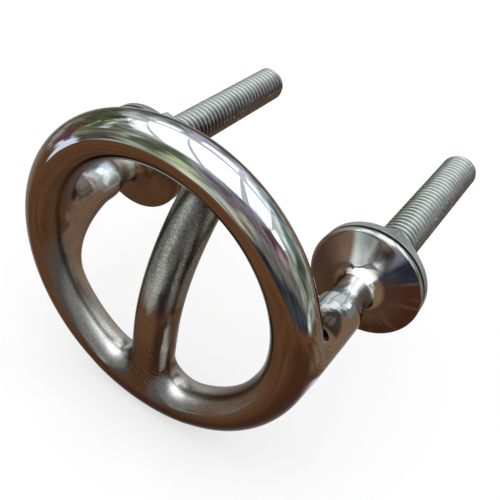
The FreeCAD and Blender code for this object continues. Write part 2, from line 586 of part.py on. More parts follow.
def make_nut(label, side, turn_name):
    body = make_body(label)
    flat = value["nut_width"] / 2
    corner = flat / math.cos(math.radians(30))
    near = value["washer_thickness"]
    far = near + value["nut_thickness"]
    bore = value["stud_root"] / 2 + value["nut_bore_clearance"]

    hexagon = add_sketch(
        body, label + "_hexagon", "XZ_Plane",
        Placement(Vector(0, 0, -far), Rotation(Vector(0, 0, 1), value[turn_name])),
        (("Base.z", "-(sizes.washer_thickness + sizes.nut_thickness)"),
         ("Rotation.Angle", "sizes." + turn_name)),
    )
    inner = hexagon.addGeometry(Part.Circle(Vector(0, 0, 0), Vector(0, 0, 1), flat), True)
    hexagon.addConstraint(Sketcher.Constraint("Coincident", inner, 3, -1, 1))
    bind(hexagon, Sketcher.Constraint("Radius", inner, flat), "sizes.nut_width / 2")
    points = [(corner * math.cos(math.radians(60 * n)), corner * math.sin(math.radians(60 * n)))
              for n in range(6)]
    sides = [hexagon.addGeometry(segment(points[n], points[(n + 1) % 6])) for n in range(6)]
    for n in range(6):
        join(hexagon, "Coincident", (sides[n], 2, sides[(n + 1) % 6], 1))
        hexagon.addConstraint(Sketcher.Constraint("Tangent", sides[n], inner))
    for n in range(1, 6):
        hexagon.addConstraint(Sketcher.Constraint("Equal", sides[0], sides[n]))
    hexagon.addConstraint(Sketcher.Constraint("PointOnObject", sides[0], 1, -1))
    hexagon.addConstraint(Sketcher.Constraint("Radius", hexagon.addGeometry(
        Part.Circle(Vector(0, 0, 0), Vector(0, 0, 1), bore)), bore))
    hexagon.setExpression("Constraints[%d]" % (hexagon.ConstraintCount - 1),
                          "sizes.stud_root / 2 + sizes.nut_bore_clearance")
    hexagon.addConstraint(Sketcher.Constraint("Coincident", hexagon.GeometryCount - 1, 3, -1, 1))
    pad = add_pad(body, hexagon, "sizes.nut_thickness")

    past = corner + value["nut_bevel_reach"]
    drop = (past - flat) * math.tan(math.radians(value["nut_bevel_angle"]))
    bevel = add_sketch(body, label + "_bevel", "XY_Plane")
    for level, formula, direction in (
        (near, "sizes.washer_thickness", 1),
        (far, "(sizes.washer_thickness + sizes.nut_thickness)", -1),
    ):
        tip = (flat, level)
        top = (past, level)
        low = (past, level + direction * drop)
        g_face = bevel.addGeometry(segment(tip, top))
        g_out = bevel.addGeometry(segment(top, low))
        g_slope = bevel.addGeometry(segment(low, tip))
        join(bevel, "Coincident", (g_face, 2, g_out, 1), (g_out, 2, g_slope, 1), (g_slope, 2, g_face, 1))
        bevel.addConstraint(Sketcher.Constraint("Horizontal", g_face))
        bevel.addConstraint(Sketcher.Constraint("Vertical", g_out))
        bind(bevel, Sketcher.Constraint("DistanceX", -1, 1, g_face, 1, flat), "sizes.nut_width / 2")
        bind(bevel, Sketcher.Constraint("DistanceY", -1, 1, g_face, 1, level), formula)
        bind(bevel, Sketcher.Constraint("DistanceX", g_face, 1, g_face, 2, past - flat),
             "sizes.nut_width / 2 / cos(30) - sizes.nut_width / 2 + sizes.nut_bevel_reach")
        if direction > 0:
            bind(bevel, Sketcher.Constraint("Angle", g_face, 1, g_slope, 2,
                                            math.radians(value["nut_bevel_angle"])),
                 "sizes.nut_bevel_angle")
        else:
            bind(bevel, Sketcher.Constraint("Angle", g_slope, 2, g_face, 1,
                                            math.radians(value["nut_bevel_angle"])),
                 "sizes.nut_bevel_angle")
    cut = add_turn(body, bevel, "V_Axis", cut=True)
    body.Tip = cut
    doc.recompute()
    round_edges(body, label + "_mouths",
                lambda edge: circle_at(edge, "y", near, bore) or circle_at(edge, "y", far, bore),
                "nut_bore_chamfer", 2, "Chamfer")
    put_in_place(body, side)
    return body


put_in_place(hook, 0)
parts = [
    hook,
    make_stud("left_stud", -1),
    make_stud("right_stud", 1),
    make_washer("left_washer", -1),
    make_washer("right_washer", 1),
    make_nut("left_nut", -1, "left_nut_turn"),
    make_nut("right_nut", 1, "right_nut_turn"),
]


# Checks and export

doc.recompute()
for item in doc.Objects:
    if "Invalid" in item.State or "Error" in item.State:
        raise RuntimeError("%s: %s" % (item.Name, item.State))

os.makedirs("parts", exist_ok=True)
for body in parts:
    shape = body.Shape
    if shape.isNull() or not shape.isValid() or len(shape.Solids) != 1:
        raise RuntimeError("%s is not one valid solid" % body.Label)
    shape.exportStep("parts/%s.step" % body.Label)
    print(body.Label, "%.1f mm3" % shape.Volume)
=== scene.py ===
import math

import bpy
import numpy as np
from mathutils import Matrix


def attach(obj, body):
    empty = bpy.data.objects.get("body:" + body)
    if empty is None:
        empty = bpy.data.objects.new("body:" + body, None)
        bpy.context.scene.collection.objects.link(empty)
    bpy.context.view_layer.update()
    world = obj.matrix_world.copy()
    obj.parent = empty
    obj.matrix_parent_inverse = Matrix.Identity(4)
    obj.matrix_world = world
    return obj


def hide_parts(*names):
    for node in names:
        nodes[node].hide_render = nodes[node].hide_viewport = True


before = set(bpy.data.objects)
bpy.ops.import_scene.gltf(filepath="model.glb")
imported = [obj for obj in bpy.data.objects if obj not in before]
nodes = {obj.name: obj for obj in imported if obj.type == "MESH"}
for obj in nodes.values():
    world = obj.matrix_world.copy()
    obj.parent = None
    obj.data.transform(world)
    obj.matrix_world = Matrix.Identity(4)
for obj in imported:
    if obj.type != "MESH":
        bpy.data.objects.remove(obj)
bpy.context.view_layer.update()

# Water ski hook: one polished casting, two threaded studs, two washers and two nuts.
# Sizes and places are millimetres in the part's own frame. Meshes and the places in the shader
# graphs are metres.

MM = 0.001


# Sizes of the casting, measured from the origin on the nuts' back faces

STUD_X = 41.275
RING_CENTRE = np.array([0.0, -55.6, -0.6])
RING_LEAN = math.radians(2.0)
RING_HALF_WIDTH = 40.3
RING_HALF_HEIGHT = 41.7
RING_BAR = 6.1
RING_SHIFT = (RING_HALF_HEIGHT - RING_HALF_WIDTH) * (1 + 1 / math.sqrt(2))
TOP_RADIUS = RING_HALF_HEIGHT - RING_SHIFT
SIDE_RADIUS = RING_HALF_WIDTH + RING_SHIFT
LEG_RISE = -RING_CENTRE[2]

LEG_BAR = 6.6
LEG_FRONT = -52.6
NECK = 5.2
NECK_Y = -25.0
NECK_BEND = 13.0
NECK_BOW = 0.5
NECK_BOW_REACH = 4.5
SHOULDER_Y = -33.4
LEG_END_GAP = 1.0
FLANGE = 17.0
FLANGE_BACK = -14.2
FLANGE_RIM = 2.5
FLANGE_SLOPE = math.radians(11.5)
FLANGE_EDGE = 0.9
FLANGE_HOLLOW = 3.5

WEB_REACH = 24.4
WEB_THINNING = 0.7
WEB_END_SLOPE = 4
CROTCH_REACH = 9.9
HORN_BAR = 6.2
HORN_CENTRE = (0.1, -16.0)
HORN_BEND = 55.0
HORN_END = math.radians(47.05)
HORN_STEM = 24.0
FOOT_REACH = 11.25
FOOT_BAR = RING_BAR + 0.1

MESH_STEP = 0.56
MESH_ROUNDS = 4
MESH_DRIFT = 0.6
HAND_BLEND = 1.2
BELL_REACH = 2.6 * HAND_BLEND
BLEND_NONE_Y = -25.0
BLEND_FULL_Y = -37.0


def eased(share):
    """A share from 0 to 1, softened at both ends."""
    return share * share * (3 - 2 * share)


def step_up(value, low, high):
    """A soft step from 0 at low to 1 at high."""
    return eased(np.clip((value - low) / (high - low), 0, 1))


# Shape of the casting as a field, negative inside

def ring_coordinates(p):
    """u and v in the ring's leaning plane, w behind it."""
    q = p - RING_CENTRE
    sin, cos = math.sin(RING_LEAN), math.cos(RING_LEAN)
    return q[:, 0], -sin * q[:, 1] + cos * q[:, 2], cos * q[:, 1] + sin * q[:, 2]


def outside_oval(u, v):
    """Distance outside the ring's centre line, and the length along it up from the leg."""
    u, rise = np.abs(u), np.abs(v)
    upper = rise - RING_SHIFT > u
    to_top = np.hypot(u, rise - RING_SHIFT) - TOP_RADIUS
    to_side = np.hypot(u + RING_SHIFT, rise) - SIDE_RADIUS
    along = SIDE_RADIUS * np.arctan2(v, u + RING_SHIFT) - LEG_RISE
    return np.where(upper, to_top, to_side), along


def outside_corner(s, w, reach):
    """Distance outside the flat region between two crossing bars and a hollow round edge."""
    arc = np.maximum(reach - np.hypot(reach - np.clip(s, 0, reach), reach - np.clip(w, 0, reach)), 0)
    inner = np.sqrt(np.minimum(s, 0) ** 2 + np.minimum(w, 0) ** 2 + arc ** 2)
    past_s = np.hypot(s - reach, w)
    past_w = np.hypot(w - reach, s) + WEB_END_SLOPE * np.maximum(w - reach, 0)
    return np.where(s > reach, past_s, np.where(w > reach, past_w, inner))


def corner_field(s, w, side, reach):
    """Web or crotch: a round-edged plate between ring and leg, following the ring's curve."""
    lateral = side - (STUD_X - RING_HALF_WIDTH) * eased(np.clip(w / reach, 0, 1))
    towards_leg = np.clip(w / np.maximum(np.abs(w) + np.maximum(s, 0), 1e-6), 0, 1)
    sink = np.clip(2 * w / reach - 1, 0, 1)
    bar = RING_BAR + (LEG_BAR - RING_BAR - WEB_THINNING * sink * sink) * towards_leg
    return np.hypot(outside_corner(s, w, reach), lateral) - bar


def horn_field(p):
    """The horn: a straight stem below, then a bow that ends in a round tip."""
    y, z = p[:, 1] - HORN_CENTRE[0], p[:, 2] - HORN_CENTRE[1]
    turn = np.arctan2(z, -y)
    held = np.clip(turn, -RING_LEAN, HORN_END)
    bow = np.hypot(y + HORN_BEND * np.cos(held), z - HORN_BEND * np.sin(held))
    low_y, low_z = -HORN_BEND * math.cos(RING_LEAN), -HORN_BEND * math.sin(RING_LEAN)
    down_y, down_z = math.sin(RING_LEAN), -math.cos(RING_LEAN)
    run = np.clip((y - low_y) * down_y + (z - low_z) * down_z, 0, HORN_STEM)
    stem = np.hypot(y - low_y - run * down_y, z - low_z - run * down_z)
    return np.hypot(p[:, 0], np.minimum(bow, stem)) - HORN_BAR


def foot_field(u, v, w, outside):
    """The horn's spread foot: a round-edged plate between horn and ring."""
    level = -RING_SHIFT - math.sqrt((TOP_RADIUS - FOOT_REACH) ** 2 - FOOT_REACH ** 2)
    u = np.abs(u)
    du, dv = u - FOOT_REACH, v - level
    end = math.atan2(level + RING_SHIFT, FOOT_REACH)
    angle = np.arctan2(dv, du)
    near = (angle <= end) | (angle >= math.pi - 1e-9)
    flat = np.hypot(np.maximum(FOOT_REACH - np.hypot(du, dv), 0), np.maximum(outside, 0))
    return np.where(near, np.hypot(flat, w) - FOOT_BAR, np.inf)


def bar_radius(y):
    """Radius of the leg along its axis, down to the neck."""
    full_part = LEG_BAR - NECK_BEND + np.sqrt(np.maximum(NECK_BEND ** 2 - (y - SHOULDER_Y) ** 2, 0))
    neck_part = NECK + NECK_BEND - np.sqrt(np.maximum(NECK_BEND ** 2 - (y - NECK_Y) ** 2, 0))
    middle = (SHOULDER_Y + NECK_Y) / 2
    radius = np.where(y < middle, full_part, neck_part)
    return np.where(y < SHOULDER_Y, LEG_BAR, np.where(y > NECK_Y, NECK, radius))


def leg_field(p):
    """Leg, neck and flange, turned about the stud's axis."""
    rho = np.hypot(np.abs(p[:, 0]) - STUD_X, p[:, 2])
    y = p[:, 1]
    bow = NECK_BOW * np.exp(-((y - NECK_Y) / NECK_BOW_REACH) ** 2)
    shaft = np.hypot(np.abs(p[:, 0] + bow) - STUD_X, p[:, 2]) - bar_radius(y)
    dome = np.hypot(rho, y - LEG_FRONT) - LEG_BAR
    bar = np.maximum(np.where(y < LEG_FRONT, dome, shaft), y - FLANGE_BACK + LEG_END_GAP)
    rim_y = FLANGE_BACK - FLANGE_RIM
    cone = (rho - FLANGE) * math.sin(FLANGE_SLOPE) - (y - rim_y) * math.cos(FLANGE_SLOPE)
    across = rho - FLANGE + FLANGE_EDGE
    along = np.maximum(y - FLANGE_BACK, cone) + FLANGE_EDGE
    disc = np.hypot(np.maximum(across, 0), np.maximum(along, 0))
    disc += np.minimum(np.maximum(across, along), 0) - FLANGE_EDGE
    u, v = np.maximum(FLANGE_HOLLOW - bar, 0), np.maximum(FLANGE_HOLLOW - disc, 0)
    return np.maximum(FLANGE_HOLLOW, np.minimum(bar, disc)) - np.hypot(u, v)


def cast_field(p):
    """The whole casting: the nearest of ring, webs, hollow corners, horn, foot and legs."""
    u, v, w = ring_coordinates(p)
    side, along = outside_oval(u, v)
    above = along + math.tan(RING_LEAN) * np.maximum(w, 0)
    ring = np.hypot(side, w) - RING_BAR
    web = corner_field(-above, w, side, WEB_REACH)
    crotch = corner_field(above, w, side, CROTCH_REACH)
    foot = foot_field(u, v, w, side)
    field = np.minimum(np.minimum(ring, np.minimum(web, crotch)), np.minimum(horn_field(p), foot))
    return np.minimum(field, leg_field(p))


# The same field on a grid, with the joints between bars blended as a polisher leaves them

class GridField:
    """Field values on a regular grid, read between its points."""

    def __init__(self, low, high, step):
        self.low, self.step = np.array(low, float), step
        self.axes = [np.arange(a, b + step, step) for a, b in zip(low, high)]
        self.shape = tuple(len(axis) for axis in self.axes)
        self.values = np.empty(self.shape)
        y, z = np.meshgrid(self.axes[1], self.axes[2], indexing="ij")
        for index, x in enumerate(self.axes[0]):
            plane = np.stack([np.full(y.size, x), y.ravel(), z.ravel()], axis=1)
            self.values[index] = cast_field(plane).reshape(self.shape[1:])
        self.blend_joints()
        self.slopes = np.gradient(self.values, step)

    def blend_joints(self):
        """Bell-shaped average over about a millimetre, in front of the necks only."""
        reach = int(math.ceil(BELL_REACH / self.step))
        offsets = np.arange(-reach, reach + 1)
        weights = np.exp(-0.5 * (offsets * self.step / HAND_BLEND) ** 2)
        weights /= weights.sum()
        mixed = self.values
        for axis in range(3):
            width = [(reach, reach) if k == axis else (0, 0) for k in range(3)]
            padded = np.moveaxis(np.pad(mixed, width, mode="edge"), axis, 0)
            count = self.shape[axis]
            mixed = sum(w * padded[k:k + count] for k, w in enumerate(weights))
            mixed = np.moveaxis(mixed, 0, axis)
        mixed = mixed - HAND_BLEND ** 2 / 2 / RING_BAR
        share = step_up(self.axes[1], BLEND_NONE_Y, BLEND_FULL_Y)[None, :, None]
        self.values = self.values + (mixed - self.values) * share

    def read(self, grid, p):
        """A grid's values at the points, each averaged from the eight corners around it."""
        place = (p - self.low) / self.step
        cell = np.clip(np.floor(place).astype(int), 0, np.array(self.shape) - 2)
        share = place - cell
        total = np.zeros(len(p))
        for a in (0, 1):
            for b in (0, 1):
                for c in (0, 1):
                    weight = np.where(a, share[:, 0], 1 - share[:, 0])
                    weight = weight * np.where(b, share[:, 1], 1 - share[:, 1])
                    weight = weight * np.where(c, share[:, 2], 1 - share[:, 2])
                    total += weight * grid[cell[:, 0] + a, cell[:, 1] + b, cell[:, 2] + c]
        return total

    def value(self, p):
        return self.read(self.values, p)

    def gradient(self, p):
        return np.stack([self.read(slope, p) for slope in self.slopes], axis=1)


# Low and high corners of the grid, a little outside the casting
GRID_MARGIN = 2
CAST_LOW = (-STUD_X - FLANGE - GRID_MARGIN, -64.5, -51.0)
CAST_HIGH = (STUD_X + FLANGE + GRID_MARGIN, -12.5, 49.5)


# Mesh helpers

def surface_mesh(field):
    """Quads on the field's zero surface, one point in each grid cell that it crosses."""
    values, shape, step = field.values, field.shape, field.step
    inside = values < 0
    corners = [(a, b, c) for a in (0, 1) for b in (0, 1) for c in (0, 1)]

    def shifted(grid, corner):
        return grid[tuple(slice(c, n - 1 + c) for c, n in zip(corner, shape))]

    count = sum(shifted(inside, corner).astype(np.int8) for corner in corners)
    active = (count > 0) & (count < 8)
    cells = np.argwhere(active)
    value = np.stack([shifted(values, corner)[active] for corner in corners], axis=1)
    total = np.zeros((len(cells), 3))
    crossings = np.zeros(len(cells))
    for a, first in enumerate(corners):
        for b, second in enumerate(corners):
            if b > a and sum(abs(i - j) for i, j in zip(first, second)) == 1:
                cross = (value[:, a] < 0) != (value[:, b] < 0)
                span = np.where(cross, value[:, a] - value[:, b], 1.0)
                share = (value[:, a] / span)[:, None]
                point = np.array(first) * (1 - share) + np.array(second) * share
                total += point * cross[:, None]
                crossings += cross
    points = field.low + (cells + total / crossings[:, None]) * step

    number = np.full(active.shape, -1, np.int64)
    number[active] = np.arange(len(cells))
    quads = []
    for axis in range(3):
        b, c = (axis + 1) % 3, (axis + 2) % 3
        near = np.moveaxis(inside, (axis, b, c), (0, 1, 2))
        cell = np.moveaxis(number, (axis, b, c), (0, 1, 2))
        cross = near[:-1, 1:-1, 1:-1] != near[1:, 1:-1, 1:-1]
        ring = np.stack([cell[:, :-1, :-1][cross], cell[:, 1:, :-1][cross],
                         cell[:, 1:, 1:][cross], cell[:, :-1, 1:][cross]], axis=1)
        outward = near[:-1, 1:-1, 1:-1][cross]
        ring[~outward] = ring[~outward][:, ::-1]
        quads.append(ring)
    return points, np.concatenate(quads)


def neighbour_mean(values, pairs, count):
    """The mean of each point's neighbours."""
    total = np.zeros_like(values)
    for axis in range(values.shape[1]):
        total[:, axis] = np.bincount(pairs[0], values[pairs[1], axis], count)
    return total / np.bincount(pairs[0], minlength=count)[:, None]


def quad_pairs(quads):
    """Both directions of every edge, as two rows of point numbers."""
    edges = np.concatenate([quads[:, [k, (k + 1) % 4]] for k in range(4)])
    edges = np.unique(np.sort(edges, axis=1), axis=0)
    return np.concatenate([edges, edges[:, ::-1]]).T


def settle(field, points, pairs, rounds):
    """Spreads the points evenly over the surface and pulls them onto it."""
    for _ in range(rounds):
        slope = field.gradient(points)
        size = (slope ** 2).sum(axis=1)
        normal = slope / np.sqrt(size)[:, None]
        drift = neighbour_mean(points, pairs, len(points)) - points
        drift -= (drift * normal).sum(axis=1)[:, None] * normal
        points = points + MESH_DRIFT * drift
        points = points - (field.value(points) / size)[:, None] * slope
    return points


def new_piece(name, points, faces, normals=None):
    """A smooth mesh in the scene, with its points given in millimetres."""
    mesh = bpy.data.meshes.new(name)
    mesh.from_pydata((np.asarray(points) * MM).tolist(), [], faces)
    mesh.update()
    mesh.polygons.foreach_set("use_smooth", np.ones(len(mesh.polygons), bool))
    if normals is not None:
        mesh.normals_split_custom_set_from_vertices(normals.tolist())
    piece = bpy.data.objects.new(name, mesh)
    bpy.context.scene.collection.objects.link(piece)
    return piece


def add_attribute(piece, name, values):
    layer = piece.data.attributes.new(name, "FLOAT", "POINT")
    layer.data.foreach_set("value", np.asarray(values, np.float32))


def satin_share(p):
    """Where the casting was blasted and left satin: horn, webs and the lower inner faces.

    Each step names where, in millimetres, a satin place starts and where it is full.
    """
    u, v, w = ring_coordinates(p)
    side, along = outside_oval(u, v)
    horn = step_up(horn_field(p), 1.2, 0.3) * step_up(v, -41, -33)
    inner = step_up(side, -0.5, -3.5) * step_up(v, 4, -14)
    web = step_up(w, 3.0, 7.0) * step_up(-along, 1.0, 7.0)
    web *= step_up(p[:, 1], -20.0, -28.0)
    left = step_up(-p[:, 0], 15.0, 22.0) * step_up(w, 2.5, 7.0)
    left = np.maximum(left, step_up(-p[:, 0], 4.0, 14.0) * step_up(-side, 3.2, 5.2))
    left = np.maximum(left, step_up(-side, 2.5, 4.5) * step_up(w, -0.5, 2.0))
    return np.maximum(np.maximum(horn, inner), np.maximum(web, left)), horn


def make_casting():
    field = GridField(CAST_LOW, CAST_HIGH, MESH_STEP)
    points, quads = surface_mesh(field)
    pairs = quad_pairs(quads)
    points = settle(field, points, pairs, MESH_ROUNDS)
    slope = field.gradient(points)
    normals = slope / np.linalg.norm(slope, axis=1)[:, None]
    piece = new_piece("casting", points, quads.tolist(), normals)
    satin, horn = satin_share(points)
    add_attribute(piece, "satin", satin)
    add_attribute(piece, "horn", horn)
    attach(piece, "root")
    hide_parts("hook_body")
    return piece


# Studs with their real thread

THREAD_PITCH = 25.4 / 12
THREAD_TOP = 6.35
THREAD_ROOT = 5.05
STUD_START = -17.6
STUD_TIP = 67.4
TIP_BEVEL = 1.3
THREAD_START = 0.2
FLANK_SLOPE = 1.3
ROOT_FLAT = 0.1
RIDGE_ROUNDING = 0.35
RINGS_PER_TURN = 14
AROUND = 72


def make_stud(name, side):
    """A stud with its thread, which is left off where flange, washer and nut hide it."""
    step = THREAD_PITCH / RINGS_PER_TURN
    levels = np.concatenate([[STUD_START, -step], np.arange(0, STUD_TIP, step), [STUD_TIP]])
    angle = np.arange(AROUND) * 2 * math.pi / AROUND
    y, turn = np.meshgrid(levels, angle, indexing="ij")
    phase = (y / THREAD_PITCH + side * THREAD_START - turn / (2 * math.pi)) % 1
    flank = np.clip((0.5 - np.abs(phase - 0.5)) / 0.5 * FLANK_SLOPE - ROOT_FLAT, 0, 1)
    rounded = eased(flank) * RIDGE_ROUNDING + flank * (1 - RIDGE_ROUNDING)
    radius = THREAD_ROOT + (THREAD_TOP - THREAD_ROOT) * rounded
    radius = np.where(y < 0, THREAD_ROOT, radius)
    radius = np.minimum(radius, THREAD_TOP - TIP_BEVEL + np.maximum(STUD_TIP - y, 0))
    points = np.stack([side * STUD_X + radius * np.cos(turn), y, radius * np.sin(turn)], axis=2)
    points = points.reshape(-1, 3).tolist()
    start, tip = len(points), len(points) + 1
    points += [[side * STUD_X, STUD_START, 0], [side * STUD_X, STUD_TIP, 0]]
    beside = [(j, (j + 1) % AROUND) for j in range(AROUND)]
    faces = []
    for i in range(len(levels) - 1):
        near, far = i * AROUND, (i + 1) * AROUND
        faces += [(near + j, far + j, far + k, near + k) for j, k in beside]
    last = (len(levels) - 1) * AROUND
    for j, k in beside:
        faces += [(start, j, k), (tip, last + k, last + j)]
    piece = new_piece(name, points, faces)
    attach(piece, "root")
    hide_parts(("left_stud", "right_stud")[side > 0])
    return piece


# Shader graphs, written as short calls

class Graph:
    """The node graph of a material or world. Each call adds nodes and gives their socket."""

    def __init__(self, owner):
        owner.use_nodes = True
        self.tree = owner.node_tree
        self.shader = self.tree.nodes.get("Principled BSDF")

    def add(self, kind, values, output=0, **settings):
        node = self.tree.nodes.new("ShaderNode" + kind)
        for name, setting in settings.items():
            setattr(node, name, setting)
        for place, value in values.items():
            if isinstance(value, bpy.types.NodeSocket):
                self.tree.links.new(value, node.inputs[place])
            else:
                node.inputs[place].default_value = value
        return node.outputs[output]

    def math(self, operation, *values):
        return self.add("Math", dict(enumerate(values)), operation=operation)

    def product(self, *values):
        """All the values multiplied."""
        total = values[0]
        for value in values[1:]:
            total = self.math("MULTIPLY", total, value)
        return total

    def vector(self, operation, *values, output=0):
        return self.add("VectorMath", dict(enumerate(values)), output, operation=operation)

    def split(self, vector):
        return self.add("SeparateXYZ", {0: vector}).node.outputs

    def grey(self, value):
        return self.add("CombineXYZ", {0: value, 1: value, 2: value})

    def fade(self, value, low, high, bottom=0.0, top=1.0):
        """A soft step from bottom at low to top at high."""
        return self.add("MapRange", {0: value, 1: low, 2: high, 3: bottom, 4: top},
                        interpolation_type="SMOOTHSTEP")

    def blend(self, share, first, second):
        return self.add("Mix", {0: share, 6: first, 7: second}, 2, data_type="RGBA")

    def ramp(self, value, stops):
        """Tones at places from 0 to 1, blended softly."""
        node = self.tree.nodes.new("ShaderNodeValToRGB")
        node.color_ramp.interpolation = "EASE"
        points = node.color_ramp.elements
        while len(points) < len(stops):
            points.new(0.5)
        for point, (place, tone) in zip(points, sorted(stops)):
            point.position, point.color = place, (*tone, 1)
        self.tree.links.new(value, node.inputs[0])
        return node.outputs[0]

    def around_stud(self, place):
        """About the nearer stud's axis: share of a turn with X at 0.5, radius, place along Y."""
        x, y, z = self.split(place)
        across = self.math("SUBTRACT", x, self.math("MULTIPLY", self.math("SIGN", x), STUD_X * MM))
        turn = self.math("DIVIDE", self.math("ARCTAN2", z, across), 2 * math.pi)
        square = self.math("ADD", self.product(across, across), self.product(z, z))
        return self.math("ADD", turn, 0.5), self.math("SQRT", square), y

    def noise(self, vector, scale, detail, output=0, **inputs):
        inputs.update(Vector=vector, Scale=scale, Detail=detail)
        return self.add("TexNoise", inputs, output)

    def sway(self, vector, scale, detail, reach):
        """A sideways shift that wanders, so that the edges of a tone look natural."""
        shift = self.vector("SUBTRACT", self.noise(vector, scale, detail, output=1), (0.5, 0.5, 0.5))
        return self.vector("MULTIPLY", shift, (reach, reach, 0))

    def stretched(self, vector, scale, turn=(0, 0, 0)):
        """The same space, turned and stretched, for grain that runs one way."""
        return self.add("Mapping", {0: vector, 2: turn, 3: scale}, vector_type="POINT")

    def surface(self, name, socket):
        self.tree.links.new(socket, self.shader.inputs[name])

    def steel(self, colour):
        """Bare metal in a colour."""
        self.surface("Base Color", colour)
        self.shader.inputs["Metallic"].default_value = 1
        self.shader.inputs["Specular Tint"].default_value = STEEL_TINT


# The photograph's right, up and out, as three fixed directions in the part's own frame. The camera
# is turned by them, and the painted reflections and highlights of the polished steel are laid out
# over them. No node reads the camera, so they stay where they are on the steel when it moves.

PHOTO_RIGHT = (0.8255, 0.5344, 0.1816)
PHOTO_UP = (-0.4639, 0.4591, 0.7576)
PHOTO_OUT = (0.3215, -0.7097, 0.6269)

# Places on the steel where a painted reflection, a painted shade or a finish starts, and where it is
# full, in metres: along Y or away from the stud's axis for flange, neck and leg, else along X or Z

FLANGE_FACE = (-0.0203, -0.0188)
FLANGE_SIDE = (-0.0160, -0.0166)
FLANGE_INNER = (0.0145, 0.0095)
# where the painted shade in the gap behind a flange starts and is full
FLANGE_BACK_GAP_SHADE = (-0.0150, -0.0147)
OUTSIDE_NECK = (0.0062, 0.0078)
NECK_FRONT = (-0.0335, -0.0310)
NECK_REAR = (-0.0205, -0.0225)
LEG_APART = (0.030, 0.034)
LEG_START = (-0.0500, -0.0485)
LEG_ROUND = (0.0088, 0.0076)
BEHIND_RING = (-0.058, -0.052)
RIM_HEIGHT = (-0.010, 0.010)
RIM_TONE_HEIGHT = (-0.010, 0.008)
CURL_HEIGHT = (-0.016, -0.026)
CURL_WIDTH = (0.034, 0.008)
CURL_FRONT = (-0.0560, -0.0590)
HORN_UPPER = (-0.008, 0.006)
RING_RIGHT = (0.012, 0.025)
FOOT_RIGHT = (0.0105, 0.0075)
FOOT_MIDDLE = (0.002, 0.005)
# where the painted shade in the gap at a washer's front starts and is full
WASHER_GAP_SHADE = (-0.0136, -0.0139)

# Places on the disc of directions, where a painted reflection starts and where it is full

FLOOR_MIRRORED = (-0.30, -0.42)
UNDERSIDE = (-0.90, -0.48)
LOWER_LEFT = (-0.35, 0.10)
LOWER_RIGHT = (0.75, 0.55)
LOWER_UP = (-0.50, -0.65)
LEFT_EDGE = (-0.82, -0.97)
RIGHT_EDGE = (0.60, 0.95)
CALM_BOTTOM = (0.05, 0.15)
CALM_TOP = (0.75, 0.65)
CALM_LEFT = (-0.40, -0.30)
CALM_RIGHT = (0.60, 0.50)

# Finish of the steel

STEEL_TINT = (0.55, 0.55, 0.55, 1)
POLISHED_ROUGHNESS = 0.05
SATIN_ROUGHNESS = 0.25
FLANGE_ROUGHNESS = 0.09
NECK_ROUGHNESS = 0.22
SATIN_COVER = 0.92
SATIN_BUMP = 0.20
BUMP_DEPTH = 0.0001

# Single tones: painted reflections of a room and a brown floor, scratches, specks, painted gap shade

ROOM_REFLECTION_TONE = (0.26, 0.29, 0.26, 1)
REFLECTED_FLOOR_BROWN = (0.105, 0.046, 0.0195, 1)
LOW_RIM_REFLECTION = (0.045, 0.015, 0.0065, 1)
HIGH_RIM_REFLECTION = (0.085, 0.040, 0.020, 1)
LOWER_FLOOR_REFLECTION = (0.050, 0.018, 0.008, 1)
LEFT_EDGE_REFLECTION = (0.22, 0.155, 0.100, 1)
RIGHT_EDGE_REFLECTION = (0.20, 0.130, 0.080, 1)
REFLECTED_GRAIN_BROWN = (0.035, 0.015, 0.008, 1)
CURL_REFLECTION_BROWN = (0.026, 0.009, 0.004, 1)
HORN_REFLECTION_BROWN = (0.105, 0.052, 0.024, 1)
RING_RIGHT_REFLECTION = (0.12, 0.078, 0.050, 1)
FOOT_REFLECTION_GREY = (0.09, 0.09, 0.088, 1)
SCRATCH_TONE = (0.19, 0.11, 0.07, 1)
SPECK_TONE = (0.60, 0.64, 0.64, 1)
# painted shade: near black for the narrow gap between flange and washer
GAP_SHADE = (0.01, 0.01, 0.01, 1)
